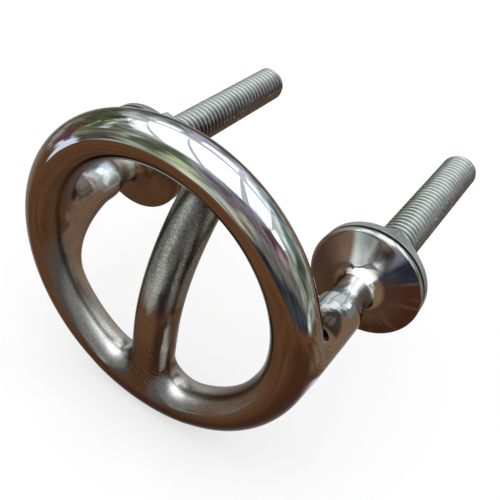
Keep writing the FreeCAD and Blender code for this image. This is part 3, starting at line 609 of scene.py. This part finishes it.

# Painted room reflections over the disc of directions: centre, half sizes, turn in degrees, soft edge,
# tone, strength

DISC_MIDDLE = (0, -0.045, 0)
DISC_SPREAD = 0.45
DISC_LEAST_FACING = 0.2
DISC_RIM = 0.999
TONES = [
    ((0.05, 0.10), (0.60, 0.45), 0, 0.30, (0.27, 0.30, 0.27), 1.0),
    ((0.05, 0.90), (0.70, 0.18), 0, 0.10, (0.17, 0.22, 0.20), 1.0),
    ((-0.42, 0.76), (0.20, 0.14), 25, 0.10, (0.055, 0.075, 0.045), 0.95),
    ((-0.28, 0.74), (0.10, 0.04), 20, 0.06, (0.080, 0.110, 0.110), 0.9),
    ((0.35, 0.80), (0.10, 0.05), -15, 0.08, (0.30, 0.30, 0.40), 0.9),
    ((0.65, 0.55), (0.15, 0.20), -40, 0.12, (0.27, 0.34, 0.38), 0.9),
    ((0.10, 0.42), (0.42, 0.32), -15, 0.10, (0.42, 0.45, 0.46), 1.0),
    ((0.45, 0.58), (0.05, 0.10), -30, 0.08, (0.52, 0.56, 0.66), 0.9),
    ((0.62, 0.22), (0.05, 0.14), -15, 0.07, (0.48, 0.56, 0.56), 0.9),
    ((0.74, 0.30), (0.03, 0.20), -10, 0.05, (0.10, 0.15, 0.14), 0.9),
    ((0.68, -0.10), (0.04, 0.22), -35, 0.08, (0.045, 0.06, 0.035), 0.95),
    ((0.60, -0.30), (0.05, 0.10), -45, 0.10, (0.10, 0.11, 0.08), 0.8),
    ((0.63, -0.33), (0.015, 0.12), -35, 0.03, (0.45, 0.50, 0.50), 0.8),
    ((0.50, -0.22), (0.05, 0.08), -40, 0.08, (0.26, 0.28, 0.24), 0.8),
    ((-0.02, -0.02), (0.20, 0.05), -5, 0.08, (0.16, 0.19, 0.24), 0.9),
    ((0.08, -0.14), (0.30, 0.08), -8, 0.10, (0.14, 0.11, 0.13), 0.9),
    ((0.27, -0.10), (0.08, 0.035), 25, 0.05, (0.055, 0.03, 0.04), 0.9),
    ((0.30, -0.18), (0.06, 0.02), 25, 0.05, (0.34, 0.22, 0.20), 0.8),
    ((-0.18, -0.27), (0.12, 0.04), 20, 0.07, (0.36, 0.34, 0.25), 0.9),
    ((-0.05, -0.31), (0.05, 0.015), 20, 0.03, (0.75, 0.66, 0.48), 0.8),
    ((0.10, -0.33), (0.30, 0.05), 8, 0.10, (0.10, 0.095, 0.085), 0.9),
    ((0.08, -0.46), (0.40, 0.06), 3, 0.07, (0.020, 0.025, 0.030), 0.95),
    ((-0.23, -0.42), (0.06, 0.03), 3, 0.05, (0.018, 0.022, 0.028), 0.9),
    ((-0.36, 0.02), (0.05, 0.10), -20, 0.08, (0.08, 0.10, 0.065), 0.9),
    ((-0.48, -0.08), (0.05, 0.10), -25, 0.06, (0.06, 0.08, 0.04), 0.9),
    ((-0.42, -0.20), (0.03, 0.14), -30, 0.05, (0.38, 0.42, 0.26), 0.85),
    ((-0.57, -0.18), (0.02, 0.16), 15, 0.05, (0.26, 0.30, 0.24), 0.9),
    ((-0.64, -0.08), (0.025, 0.10), 10, 0.04, (0.03, 0.038, 0.03), 0.95),
    ((-0.52, -0.34), (0.10, 0.04), -20, 0.06, (0.46, 0.48, 0.42), 0.8),
    ((-0.62, 0.18), (0.06, 0.22), -5, 0.07, (0.12, 0.11, 0.07), 0.9),
    ((-0.52, 0.52), (0.09, 0.20), -35, 0.09, (0.055, 0.07, 0.03), 0.95),
    ((-0.54, 0.26), (0.06, 0.10), -28, 0.08, (0.090, 0.105, 0.070), 0.8),
    ((-0.53, 0.30), (0.006, 0.13), -28, 0.020, (0.38, 0.42, 0.38), 0.9),
    ((-0.60, 0.36), (0.004, 0.10), -24, 0.015, (0.30, 0.33, 0.29), 0.9),
    ((-0.46, 0.50), (0.004, 0.10), -40, 0.015, (0.28, 0.33, 0.29), 0.9),
    ((-0.37, 0.56), (0.012, 0.12), -40, 0.02, (0.50, 0.56, 0.54), 0.8),
    ((-0.73, 0.32), (0.04, 0.20), -12, 0.05, (0.085, 0.05, 0.028), 0.95),
    ((-0.77, 0.10), (0.03, 0.12), -8, 0.03, (0.10, 0.03, 0.04), 0.9),
]
# the same painted reflections, a pale strip and a dark line, laid over the painted floor reflection
RIM_REFLECTIONS = [
    ((-0.72, -0.13), (0.018, 0.14), 14, 0.025, (0.60, 0.66, 0.82), 0.95),
    ((-0.735, -0.01), (0.008, 0.05), 10, 0.015, (0.03, 0.035, 0.045), 0.9),
]

# painted reflections and highlights, laid the same way around a leg: hundreds of degrees from -X, and
# centimetres along Y
TURN_SCALE = 3.6
PLACE_SCALE = 100.0
RIGHT_LEG_REFLECTIONS = [
    ((1.80, -3.50), (1.90, 2.50), 0, 0.10, (0.17, 0.108, 0.064), 1.0),
    ((3.30, -2.70), (0.25, 1.20), 0, 0.10, (0.14, 0.13, 0.11), 1.0),
    ((2.95, -3.00), (0.14, 0.90), 0, 0.10, (0.27, 0.32, 0.32), 1.0),
    ((2.72, -3.45), (0.20, 0.40), 0, 0.10, (0.50, 0.56, 0.58), 1.0),
    ((2.62, -2.45), (0.16, 0.60), 0, 0.10, (0.95, 0.97, 1.00), 1.0),
    ((2.36, -3.25), (0.05, 0.50), 0, 0.06, (0.14, 0.17, 0.165), 1.0),
    ((2.28, -2.40), (0.08, 0.30), 0, 0.08, (0.30, 0.31, 0.32), 1.0),
    ((2.10, -2.75), (0.08, 0.30), 0, 0.08, (0.14, 0.115, 0.09), 1.0),
    ((2.81, -3.35), (0.006, 0.50), 7, 0.020, (0.18, 0.22, 0.23), 0.8),
    ((2.63, -3.30), (0.006, 0.35), -6, 0.020, (0.22, 0.26, 0.28), 0.8),
    ((2.72, -3.62), (0.20, 0.006), 14, 0.020, (0.25, 0.29, 0.30), 0.8),
    ((2.49, -3.47), (0.03, 0.08), 0, 0.050, (0.95, 0.97, 0.97), 0.9),
    ((2.32, -3.12), (0.16, 0.08), 0, 0.080, (0.80, 0.82, 0.80), 0.9),
    ((2.87, -2.15), (0.18, 0.32), 0, 0.08, (0.95, 0.97, 0.98), 0.9),
    ((3.12, -2.35), (0.06, 0.35), 0, 0.08, (0.60, 0.64, 0.60), 0.9),
    ((2.95, -2.90), (0.12, 0.12), 0, 0.08, (0.75, 0.85, 0.85), 0.9),
    ((2.26, -2.65), (0.12, 0.45), 0, 0.08, (0.90, 0.91, 0.88), 0.9),
    ((2.48, -2.90), (0.04, 0.28), 0, 0.06, (0.95, 0.97, 1.00), 0.9),
    ((2.05, -2.36), (0.30, 0.14), 0, 0.12, (0.62, 0.64, 0.61), 0.9),
    ((3.04, -2.45), (0.08, 0.25), 0, 0.10, (1.00, 1.00, 1.00), 0.9),
    ((2.72, -3.80), (0.04, 0.12), 10, 0.08, (0.85, 0.88, 0.90), 0.8),
    ((2.52, -4.48), (0.22, 0.10), -12, 0.14, (0.040, 0.025, 0.016), 1.0),
    ((2.55, -4.18), (0.14, 0.16), -38, 0.14, (0.036, 0.034, 0.033), 0.97),
    ((2.84, -4.00), (0.05, 0.08), -20, 0.09, (0.72, 0.73, 0.78), 0.9),
    ((2.46, -3.80), (0.04, 0.06), -38, 0.07, (0.065, 0.075, 0.070), 0.9),
    ((2.70, -4.02), (0.06, 0.02), -38, 0.04, (0.10, 0.105, 0.14), 0.8),
    ((2.83, -4.12), (0.03, 0.06), 0, 0.04, (0.30, 0.29, 0.29), 0.9),
]
# painted reflections and highlights of the satin left leg and its web
LEFT_LEG_REFLECTIONS = [
    ((2.45, -4.60), (0.30, 0.30), 0, 0.14, (0.060, 0.042, 0.029), 1.0),
    ((2.42, -3.20), (0.34, 0.70), 0, 0.18, (0.22, 0.24, 0.24), 1.0),
    ((2.70, -3.60), (0.08, 0.45), 0, 0.12, (0.085, 0.105, 0.115), 1.0),
    ((2.53, -3.10), (0.04, 0.40), 0, 0.12, (0.30, 0.37, 0.42), 1.0),
    ((2.30, -3.10), (0.07, 0.50), 0, 0.12, (0.46, 0.54, 0.54), 1.0),
    ((2.42, -2.60), (0.20, 0.25), 0, 0.14, (0.86, 0.95, 1.00), 1.0),
    ((2.12, -2.75), (0.08, 0.40), 0, 0.12, (0.80, 0.90, 0.86), 1.0),
    ((1.80, -2.65), (0.15, 0.25), 0, 0.16, (0.60, 0.54, 0.45), 1.0),
    ((2.06, -3.55), (0.06, 0.30), 0, 0.14, (0.24, 0.25, 0.24), 0.9),
    ((2.20, -3.62), (0.03, 0.12), -40, 0.12, (0.60, 0.66, 0.65), 0.9),
    ((2.45, -3.66), (0.03, 0.08), -30, 0.10, (0.60, 0.65, 0.66), 0.9),
    ((2.36, -4.12), (0.10, 0.03), -35, 0.10, (0.10, 0.10, 0.10), 0.9),
]

# painted reflections and highlights, laid the same way on the horn: centimetres along X, and units of
# four centimetres along Z
HORN_SCALE = (100, 25, 0)
HORN_REFLECTIONS = [
    ((0.00, 0.42), (1.00, 0.46), 0, 0.16, (0.125, 0.120, 0.105), 1.0),
    ((0.02, 0.24), (0.02, 0.34), 7, 0.15, (0.27, 0.295, 0.26), 0.9),
    ((0.14, 0.05), (0.02, 0.03), 0, 0.12, (0.30, 0.32, 0.285), 0.7),
    ((-0.07, -0.03), (0.03, 0.04), 0, 0.13, (0.25, 0.25, 0.22), 0.7),
    ((0.30, 0.44), (0.04, 0.16), -8, 0.13, (0.065, 0.060, 0.055), 0.8),
    ((0.345, 0.03), (0.00, 0.18), -6, 0.16, (0.022, 0.021, 0.020), 0.97),
    ((0.33, -0.10), (0.03, 0.04), 10, 0.13, (0.014, 0.013, 0.013), 0.9),
    ((0.46, 0.15), (0.006, 0.12), 0, 0.06, (0.14, 0.135, 0.12), 0.8),
    ((0.53, 0.20), (0.006, 0.12), 0, 0.06, (0.045, 0.040, 0.032), 0.8),
    ((0.61, 0.30), (0.015, 0.40), 0, 0.06, (0.13, 0.105, 0.082), 0.9),
    ((0.42, -0.50), (0.00, 0.16), 0, 0.22, (0.036, 0.016, 0.009), 0.95),
    ((0.552, -0.27), (0.00, 0.05), 3, 0.06, (0.32, 0.32, 0.30), 0.6),
    ((0.548, -0.42), (0.00, 0.10), 3, 0.06, (0.62, 0.62, 0.59), 0.9),
    ((0.545, -0.60), (0.00, 0.10), 3, 0.07, (0.55, 0.55, 0.52), 0.7),
]

# painted light and shade of the satin places by how far they face up, brown below as a painted floor
# reflection
SATIN_RING_LIGHT_AND_SHADE = [
    (0.00, (0.075, 0.036, 0.018)),
    (0.48, (0.088, 0.044, 0.022)),
    (0.62, (0.065, 0.060, 0.054)),
    (0.75, (0.16, 0.165, 0.155)),
    (0.92, (0.55, 0.57, 0.56)),
]
SATIN_LEG_LIGHT_AND_SHADE = [
    (0.00, (0.070, 0.030, 0.014)),
    (0.40, (0.082, 0.038, 0.018)),
    (0.58, (0.150, 0.080, 0.042)),
    (0.75, (0.22, 0.15, 0.095)),
    (0.95, (0.30, 0.28, 0.25)),
]

# painted reflections around a stud's axis: degrees from X towards Z, tone
FLANGE_REFLECTIONS = [
    (-180, (0.55, 0.62, 0.64)),
    (-160, (0.30, 0.27, 0.24)),
    (-145, (0.095, 0.050, 0.030)),
    (-110, (0.058, 0.020, 0.010)),
    (-60, (0.046, 0.016, 0.008)),
    (-20, (0.048, 0.017, 0.0085)),
    (28, (0.050, 0.020, 0.010)),
    (36, (0.022, 0.022, 0.032)),
    (54, (0.013, 0.018, 0.028)),
    (64, (0.16, 0.16, 0.20)),
    (74, (0.20, 0.20, 0.21)),
    (80, (0.50, 0.50, 0.46)),
    (90, (0.45, 0.46, 0.42)),
    (98, (0.20, 0.22, 0.19)),
    (118, (0.36, 0.46, 0.43)),
    (138, (0.38, 0.48, 0.46)),
    (158, (0.46, 0.54, 0.54)),
    (180, (0.55, 0.62, 0.64)),
]
# the same painted reflections and highlights near the neck
FLANGE_INNER_REFLECTIONS = [
    (-180, (0.45, 0.40, 0.35)),
    (-150, (0.105, 0.058, 0.035)),
    (28, (0.052, 0.025, 0.015)),
    (54, (0.03, 0.035, 0.05)),
    (80, (0.60, 0.62, 0.60)),
    (101, (0.42, 0.45, 0.45)),
    (120, (0.60, 0.63, 0.62)),
    (135, (0.75, 0.78, 0.75)),
    (155, (0.55, 0.54, 0.50)),
    (180, (0.45, 0.40, 0.35)),
]
# painted reflections on the studs
STUD_REFLECTIONS = [
    (-180, (0.12, 0.12, 0.11)),
    (-90, (0.07, 0.038, 0.024)),
    (-10, (0.08, 0.05, 0.034)),
    (18, (0.10, 0.085, 0.072)),
    (45, (0.19, 0.20, 0.20)),
    (80, (0.36, 0.40, 0.39)),
    (110, (0.32, 0.36, 0.34)),
    (140, (0.17, 0.19, 0.17)),
    (180, (0.12, 0.12, 0.11)),
]
# painted reflections on the washers and nuts
WASHER_REFLECTIONS = [
    (-180, (0.20, 0.15, 0.12)),
    (-100, (0.30, 0.20, 0.13)),
    (-20, (0.26, 0.17, 0.11)),
    (10, (0.10, 0.09, 0.08)),
    (50, (0.30, 0.32, 0.30)),
    (80, (0.22, 0.25, 0.23)),
    (120, (0.34, 0.37, 0.35)),
    (150, (0.25, 0.22, 0.19)),
    (180, (0.20, 0.15, 0.12)),
]


def turn_shares(stops):
    """The same stops, with their degrees as shares of a turn that has X at 0.5."""
    return [(place / 360 + 0.5, tone) for place, tone in stops]


def direction_disc(g):
    """Where the surface's direction falls on a disc: its middle faces out, its rim sideways."""
    coordinates = g.add("TexCoord", {}).node.outputs
    normal, place = coordinates["Normal"], coordinates["Object"]
    out = g.vector("DOT_PRODUCT", normal, PHOTO_OUT, output=1)
    out = g.math("MAXIMUM", g.math("ABSOLUTE", out), DISC_LEAST_FACING)
    shift = g.vector("SUBTRACT", place, DISC_MIDDLE)
    parts = []
    for axis in (PHOTO_RIGHT, PHOTO_UP):
        facing = g.vector("DOT_PRODUCT", normal, axis, output=1)
        lie = g.vector("DOT_PRODUCT", shift, axis, output=1)
        parts.append(g.math("ADD", facing, g.math("DIVIDE", lie, g.product(out, DISC_SPREAD))))
    disc = g.add("CombineXYZ", {0: parts[0], 1: parts[1]})
    size = g.math("MAXIMUM", g.vector("LENGTH", disc, output=1), DISC_RIM)
    disc = g.vector("DIVIDE", disc, g.add("CombineXYZ", {0: size, 1: size, 2: 1.0}))
    return disc, place, normal


def add_tone(g, sheet, colour, centre, half, turn, soft, tone, strength):
    """Lays one soft-edged rectangle of a tone over a colour."""
    local = g.add("Mapping", {0: sheet, 1: (*centre, 0), 2: (0, 0, math.radians(turn))},
                  vector_type="TEXTURE")
    past = g.vector("SUBTRACT", g.vector("ABSOLUTE", local), (*half, 0))
    past = g.vector("MAXIMUM", past, (0, 0, 0))
    share = g.fade(g.vector("LENGTH", past, output=1), 0.0, soft, bottom=strength, top=0.0)
    return g.blend(share, colour, (*tone, 1))


def add_tones(g, sheet, colour, tones):
    """Lays a list of tones over a colour, the last one on top."""
    for tone in tones:
        colour = add_tone(g, sheet, colour, *tone)
    return colour


def mirrored_rise(g, disc):
    """How far up a sight line along the fixed direction PHOTO_OUT leaves a mirror at that place."""
    square = g.vector("DOT_PRODUCT", disc, disc, output=1)
    facing = g.math("SQRT", g.math("MAXIMUM", g.math("SUBTRACT", 1.0, square), 0.0))
    lift = g.vector("DOT_PRODUCT", disc, (PHOTO_RIGHT[2], PHOTO_UP[2], 0), output=1)
    lift = g.math("ADD", lift, g.math("MULTIPLY", facing, PHOTO_OUT[2]))
    return g.math("SUBTRACT", g.product(facing, 2.0, lift), PHOTO_OUT[2])


def curled_floor_reflection(g, place, colour):
    """Darkens a colour in curling lines round the horn's foot, a painted reflection of wood grain."""
    turned = g.stretched(place, (1, 1, 1), turn=(0, 1.0, 0))
    curl = g.add("TexWave", {"Vector": turned, "Scale": 260.0, "Distortion": 11.0, "Detail": 2.0,
                             "Detail Scale": 0.8}, 1)
    x, y, z = g.split(place)
    low = g.product(g.fade(z, *CURL_HEIGHT), g.fade(g.math("ABSOLUTE", x), *CURL_WIDTH),
                    g.fade(y, *CURL_FRONT))
    return g.blend(g.product(low, g.fade(curl, 0.30, 0.70), 0.80), colour, CURL_REFLECTION_BROWN)


def floor_reflection(g, disc, place):
    """Painted reflection of a brown floor on the undersides, darker lower down, with its flowing grain.
    """
    right, up, _ = g.split(disc)
    rim = g.blend(g.fade(g.split(place)[2], *RIM_HEIGHT), LOW_RIM_REFLECTION, HIGH_RIM_REFLECTION)
    brown = g.blend(g.fade(up, *UNDERSIDE), rim, REFLECTED_FLOOR_BROWN)
    lower = g.product(g.fade(right, *LOWER_LEFT), g.fade(right, *LOWER_RIGHT), g.fade(up, *LOWER_UP))
    brown = g.blend(g.math("MULTIPLY", lower, 0.85), brown, LOWER_FLOOR_REFLECTION)
    brown = g.blend(g.fade(right, *LEFT_EDGE), brown, LEFT_EDGE_REFLECTION)
    brown = g.blend(g.fade(right, *RIGHT_EDGE), brown, RIGHT_EDGE_REFLECTION)
    grain = g.noise(g.stretched(disc, (2.0, 14.0, 1.0), turn=(0, 0, 0.2)), scale=1.5, detail=4.0,
                    Distortion=0.8)
    brown = g.blend(g.fade(grain, 0.40, 0.70, top=0.60), brown, REFLECTED_GRAIN_BROWN)
    return curled_floor_reflection(g, place, brown)


def paint_leg_reflections(g, place, colour, tones, side):
    """Lays the painted reflections and highlights of one leg, right for side 1 or left for side -1,
    over a colour.
    """
    turn, radius, back = g.around_stud(place)
    sheet = g.add("CombineXYZ", {0: g.math("MULTIPLY", turn, TURN_SCALE),
                                 1: g.math("MULTIPLY", back, PLACE_SCALE)})
    sheet = g.vector("ADD", sheet, g.sway(place, scale=260.0, detail=3.0, reach=0.18))
    leg = add_tones(g, sheet, colour, tones)
    apart = g.fade(g.split(place)[0], *(side * x for x in LEG_APART))
    share = g.product(apart, g.fade(back, *LEG_START), g.fade(radius, *LEG_ROUND))
    return g.blend(share, colour, leg)


def paint_horn_reflections(g, place):
    """Painted reflections and highlights in streaks along the horn, over a painted brown floor
    reflection that curls round its foot.
    """
    x, _, z = g.split(place)
    sheet = g.vector("MULTIPLY", g.add("CombineXYZ", {0: x, 1: z}), HORN_SCALE)
    wave = g.noise(g.stretched(place, (700, 700, 60)), scale=1.0, detail=3.0)
    wave = g.math("MULTIPLY", g.math("SUBTRACT", wave, 0.5), 0.14)
    sheet = g.vector("ADD", sheet, g.add("CombineXYZ", {0: wave}))
    return add_tones(g, sheet, curled_floor_reflection(g, place, HORN_REFLECTION_BROWN), HORN_REFLECTIONS)


def satin_painted_light(g, place, normal, grain):
    """Painted light, shade and reflections of the satin places: ring, legs and horn, with the speck of
    a blasted surface.
    """
    x, y, z = g.split(place)
    up = g.math("ADD", g.math("MULTIPLY", g.split(normal)[2], 0.5), 0.5)
    ring = g.ramp(up, SATIN_RING_LIGHT_AND_SHADE)
    # painted reflections: browner towards the ring's right, greyer by the horn's foot
    ring = g.blend(g.fade(x, *RING_RIGHT, top=0.88), ring, RING_RIGHT_REFLECTION)
    foot = g.product(g.fade(x, *FOOT_RIGHT, top=0.6), g.fade(x, *FOOT_MIDDLE))
    ring = g.blend(foot, ring, FOOT_REFLECTION_GREY)
    leg = paint_leg_reflections(g, place, g.ramp(up, SATIN_LEG_LIGHT_AND_SHADE), LEFT_LEG_REFLECTIONS, -1)
    tone = g.blend(g.fade(y, *BEHIND_RING), ring, leg)
    on_horn = g.add("Attribute", {}, 2, attribute_name="horn")
    tone = g.blend(on_horn, tone, paint_horn_reflections(g, place))
    rough = g.math("ADD", g.product(on_horn, g.fade(z, *HORN_UPPER, top=1.4)), 1.0)
    speck = g.fade(grain, 0.3, 0.7, bottom=-0.16, top=0.18)
    speck = g.math("ADD", g.product(speck, rough), 1.0)
    return g.vector("MULTIPLY", tone, g.grey(speck))


def leafy_reflection(g, disc, bent, colour):
    """Mottles a painted room reflection like reflected leaves, except in the middle of the top, where
    the reflected panes show.
    """
    leaves = g.noise(g.stretched(bent, (9.0, 9.0, 1.0)), scale=1.0, detail=4.0)
    leaves = g.fade(leaves, 0.35, 0.65, bottom=0.60, top=1.40)
    right, up, _ = g.split(disc)
    calm = g.product(g.fade(up, *CALM_BOTTOM), g.fade(up, *CALM_TOP),
                     g.fade(right, *CALM_LEFT), g.fade(right, *CALM_RIGHT))
    leaves = g.product(g.math("SUBTRACT", leaves, 1.0), g.math("SUBTRACT", 1.0, calm))
    return g.vector("MULTIPLY", colour, g.grey(g.math("ADD", leaves, 1.0)))


def polished_reflections(g, disc, place):
    """Painted reflections on the polished places: the room above, the brown floor below, and the right
    leg.
    """
    bent = g.vector("ADD", disc, g.sway(place, scale=90.0, detail=2.0, reach=0.05))
    bent = g.vector("ADD", bent, g.sway(disc, scale=5.0, detail=3.0, reach=0.10))
    room = leafy_reflection(g, disc, bent, add_tones(g, bent, ROOM_REFLECTION_TONE, TONES))
    colour = g.blend(g.fade(mirrored_rise(g, bent), *FLOOR_MIRRORED), room, floor_reflection(g, bent, place))
    rim = add_tones(g, bent, colour, RIM_REFLECTIONS)
    colour = g.blend(g.fade(g.split(place)[2], *RIM_TONE_HEIGHT, bottom=0.20), colour, rim)
    return paint_leg_reflections(g, place, colour, RIGHT_LEG_REFLECTIONS, 1)


def flange_reflections_and_scratches(g, turn, radius):
    """Painted reflections on a flange's face, with faint scratches that run outwards."""
    face = g.blend(g.fade(radius, *FLANGE_INNER), g.ramp(turn, turn_shares(FLANGE_REFLECTIONS)),
                   g.ramp(turn, turn_shares(FLANGE_INNER_REFLECTIONS)))
    outwards = g.add("CombineXYZ", {0: turn, 1: g.math("MULTIPLY", radius, 2.0)})
    streaks = g.noise(outwards, scale=60.0, detail=3.0)
    return g.blend(g.fade(streaks, 0.5, 0.75, top=0.30), face, SCRATCH_TONE)


def cast_steel():
    """Steel of the casting: polished, with satin places, flange faces and duller necks, coloured by
    painted reflections, highlights and shade.
    """
    material = bpy.data.materials.new("polished_cast_steel")
    g = Graph(material)
    disc, place, normal = direction_disc(g)
    turn, radius, back = g.around_stud(place)
    flange = g.product(g.fade(back, *FLANGE_FACE), g.fade(radius, *OUTSIDE_NECK),
                       g.fade(back, *FLANGE_SIDE))
    satin = g.add("Attribute", {}, 2, attribute_name="satin")
    grain = g.noise(place, scale=2200.0, detail=2.0)

    colour = g.blend(flange, polished_reflections(g, disc, place), flange_reflections_and_scratches(g, turn, radius))
    colour = g.blend(g.math("MULTIPLY", satin, SATIN_COVER), colour,
                     satin_painted_light(g, place, normal, grain))
    # painted shade: near black at the flange's back edge, in the gap by the washer
    g.steel(g.blend(g.fade(back, *FLANGE_BACK_GAP_SHADE), colour, GAP_SHADE))

    neck = g.product(g.fade(back, *NECK_FRONT, top=NECK_ROUGHNESS), g.fade(back, *NECK_REAR))
    dull = g.math("MAXIMUM", g.math("MULTIPLY", satin, SATIN_ROUGHNESS),
                  g.math("MULTIPLY", flange, FLANGE_ROUGHNESS))
    g.surface("Roughness", g.math("ADD", g.math("MAXIMUM", dull, neck), POLISHED_ROUGHNESS))
    g.surface("Normal", g.add("Bump", {"Strength": g.math("MULTIPLY", satin, SATIN_BUMP),
                                       "Distance": BUMP_DEPTH, "Height": grain}))
    return material


def turned_steel(name, tones, roughness, gap=None):
    """Steel of stud, washer or nut, with painted reflections laid out around the stud's axis, and
    painted shade at its edge by the flange where that place is given.
    """
    material = bpy.data.materials.new(name)
    g = Graph(material)
    place = g.add("TexCoord", {}).node.outputs["Object"]
    turn, radius, back = g.around_stud(place)
    patches = g.noise(place, scale=160.0, detail=3.0)
    sway = g.math("MULTIPLY", g.math("SUBTRACT", patches, 0.5), 0.10)
    colour = g.ramp(g.math("ADD", turn, sway), turn_shares(tones))
    speck = g.noise(place, scale=900.0, detail=2.0)
    colour = g.blend(g.fade(speck, 0.58, 0.78, top=0.35), colour, SPECK_TONE)
    # painted shade: near black at the washer's front edge, in the gap by the flange
    if gap:
        colour = g.blend(g.fade(back, *gap), colour, GAP_SHADE)
    g.steel(colour)
    g.shader.inputs["Roughness"].default_value = roughness
    return material


casting = make_casting()
casting.data.materials.append(cast_steel())
stud_steel = turned_steel("threaded_steel", STUD_REFLECTIONS, roughness=0.22)
for side, name in ((-1, "left_threaded_stud"), (1, "right_threaded_stud")):
    make_stud(name, side).data.materials.append(stud_steel)
washer_steel = turned_steel("washer_steel", WASHER_REFLECTIONS, roughness=0.12, gap=WASHER_GAP_SHADE)
nut_steel = turned_steel("nut_steel", WASHER_REFLECTIONS, roughness=0.15)
for name, material in (("left_washer", washer_steel), ("right_washer", washer_steel),
                       ("left_nut", nut_steel), ("right_nut", nut_steel)):
    nodes[name].data.materials.clear()
    nodes[name].data.materials.append(material)


# Camera at the photograph's place

CAMERA_PLACE = (74.4, -170.0, 125.6)
LENS = 50.78
SENSOR = 36
CLIP_START = 0.01

camera_data = bpy.data.cameras.new("camera")
camera_data.sensor_width = SENSOR
camera_data.lens = LENS
camera_data.clip_start = CLIP_START
camera = bpy.data.objects.new("camera", camera_data)
bpy.context.scene.collection.objects.link(camera)
camera_axes = Matrix((PHOTO_RIGHT, PHOTO_UP, PHOTO_OUT)).transposed()
camera.matrix_world = Matrix.Translation([c * MM for c in CAMERA_PLACE]) @ camera_axes.to_4x4()
bpy.context.scene.camera = camera


# Floor, light and background

FLOOR_LEVEL = -48.9
FLOOR_SIZE = 8
FLOOR_GREY = (0.35, 0.35, 0.35, 1)
FLOOR_GLOW = 0.62
WORLD_LIGHT = 0.6
WHITE = (1, 1, 1, 1)


def seen_directly(g):
    """1 for camera, glossy and transmission rays, else 0."""
    path = g.add("LightPath", {}).node.outputs
    share = g.math("MAXIMUM", path["Is Camera Ray"], path["Is Glossy Ray"])
    return g.math("MAXIMUM", share, path["Is Transmission Ray"])


bpy.ops.mesh.primitive_plane_add(size=FLOOR_SIZE, location=(0, 0, FLOOR_LEVEL * MM))
floor = bpy.context.object
floor.name = "floor"
paint = bpy.data.materials.new("floor_paint")
floor_graph = Graph(paint)
for socket, value in (("Base Color", FLOOR_GREY), ("Roughness", 1.0), ("Specular IOR Level", 0.0),
                      ("Emission Color", WHITE)):
    floor_graph.shader.inputs[socket].default_value = value
glow = floor_graph.math("MULTIPLY", seen_directly(floor_graph), FLOOR_GLOW)
floor_graph.surface("Emission Strength", glow)
floor.data.materials.append(paint)

world = bpy.data.worlds.new("studio")
bpy.context.scene.world = world
world_graph = Graph(world)
background = world.node_tree.nodes["Background"]
background.inputs["Color"].default_value = WHITE
light = world_graph.fade(seen_directly(world_graph), 0.0, 1.0, bottom=WORLD_LIGHT)
world.node_tree.links.new(light, background.inputs["Strength"])

# overhead lamps, one for each pane of a window: centre, width and depth for a lamp height of 1,
# and turn in degrees
PANES = [
    ((-1.20, -0.48), 0.50, 1.05, -2),
    ((-0.58, -0.42), 0.60, 1.45, 6),
    ((0.07, -0.28), 0.62, 1.30, 10),
    ((0.74, -0.08), 0.58, 1.10, 16),
    ((1.50, -0.28), 0.70, 0.50, 0),
    ((-0.72, 0.54), 0.38, 0.25, 0),
    ((-0.07, 0.77), 0.48, 0.45, 10),
    ((0.55, 0.86), 0.52, 0.50, 16),
]
LAMP_HEIGHT = 1.5
LAMP_GLOW = 4.5
for index, ((x, y), wide, deep, turned) in enumerate(PANES):
    lamp_data = bpy.data.lights.new("pane_%d" % (index + 1), "AREA")
    lamp_data.shape = "RECTANGLE"
    lamp_data.size = wide * LAMP_HEIGHT
    lamp_data.size_y = deep * LAMP_HEIGHT
    lamp_data.energy = LAMP_GLOW * lamp_data.size * lamp_data.size_y
    lamp = bpy.data.objects.new(lamp_data.name, lamp_data)
    lamp.location = (x * LAMP_HEIGHT, y * LAMP_HEIGHT, LAMP_HEIGHT)
    lamp.rotation_euler = (0, 0, math.radians(turned))
    bpy.context.scene.collection.objects.link(lamp)

bpy.context.scene.view_settings.view_transform = "Standard"
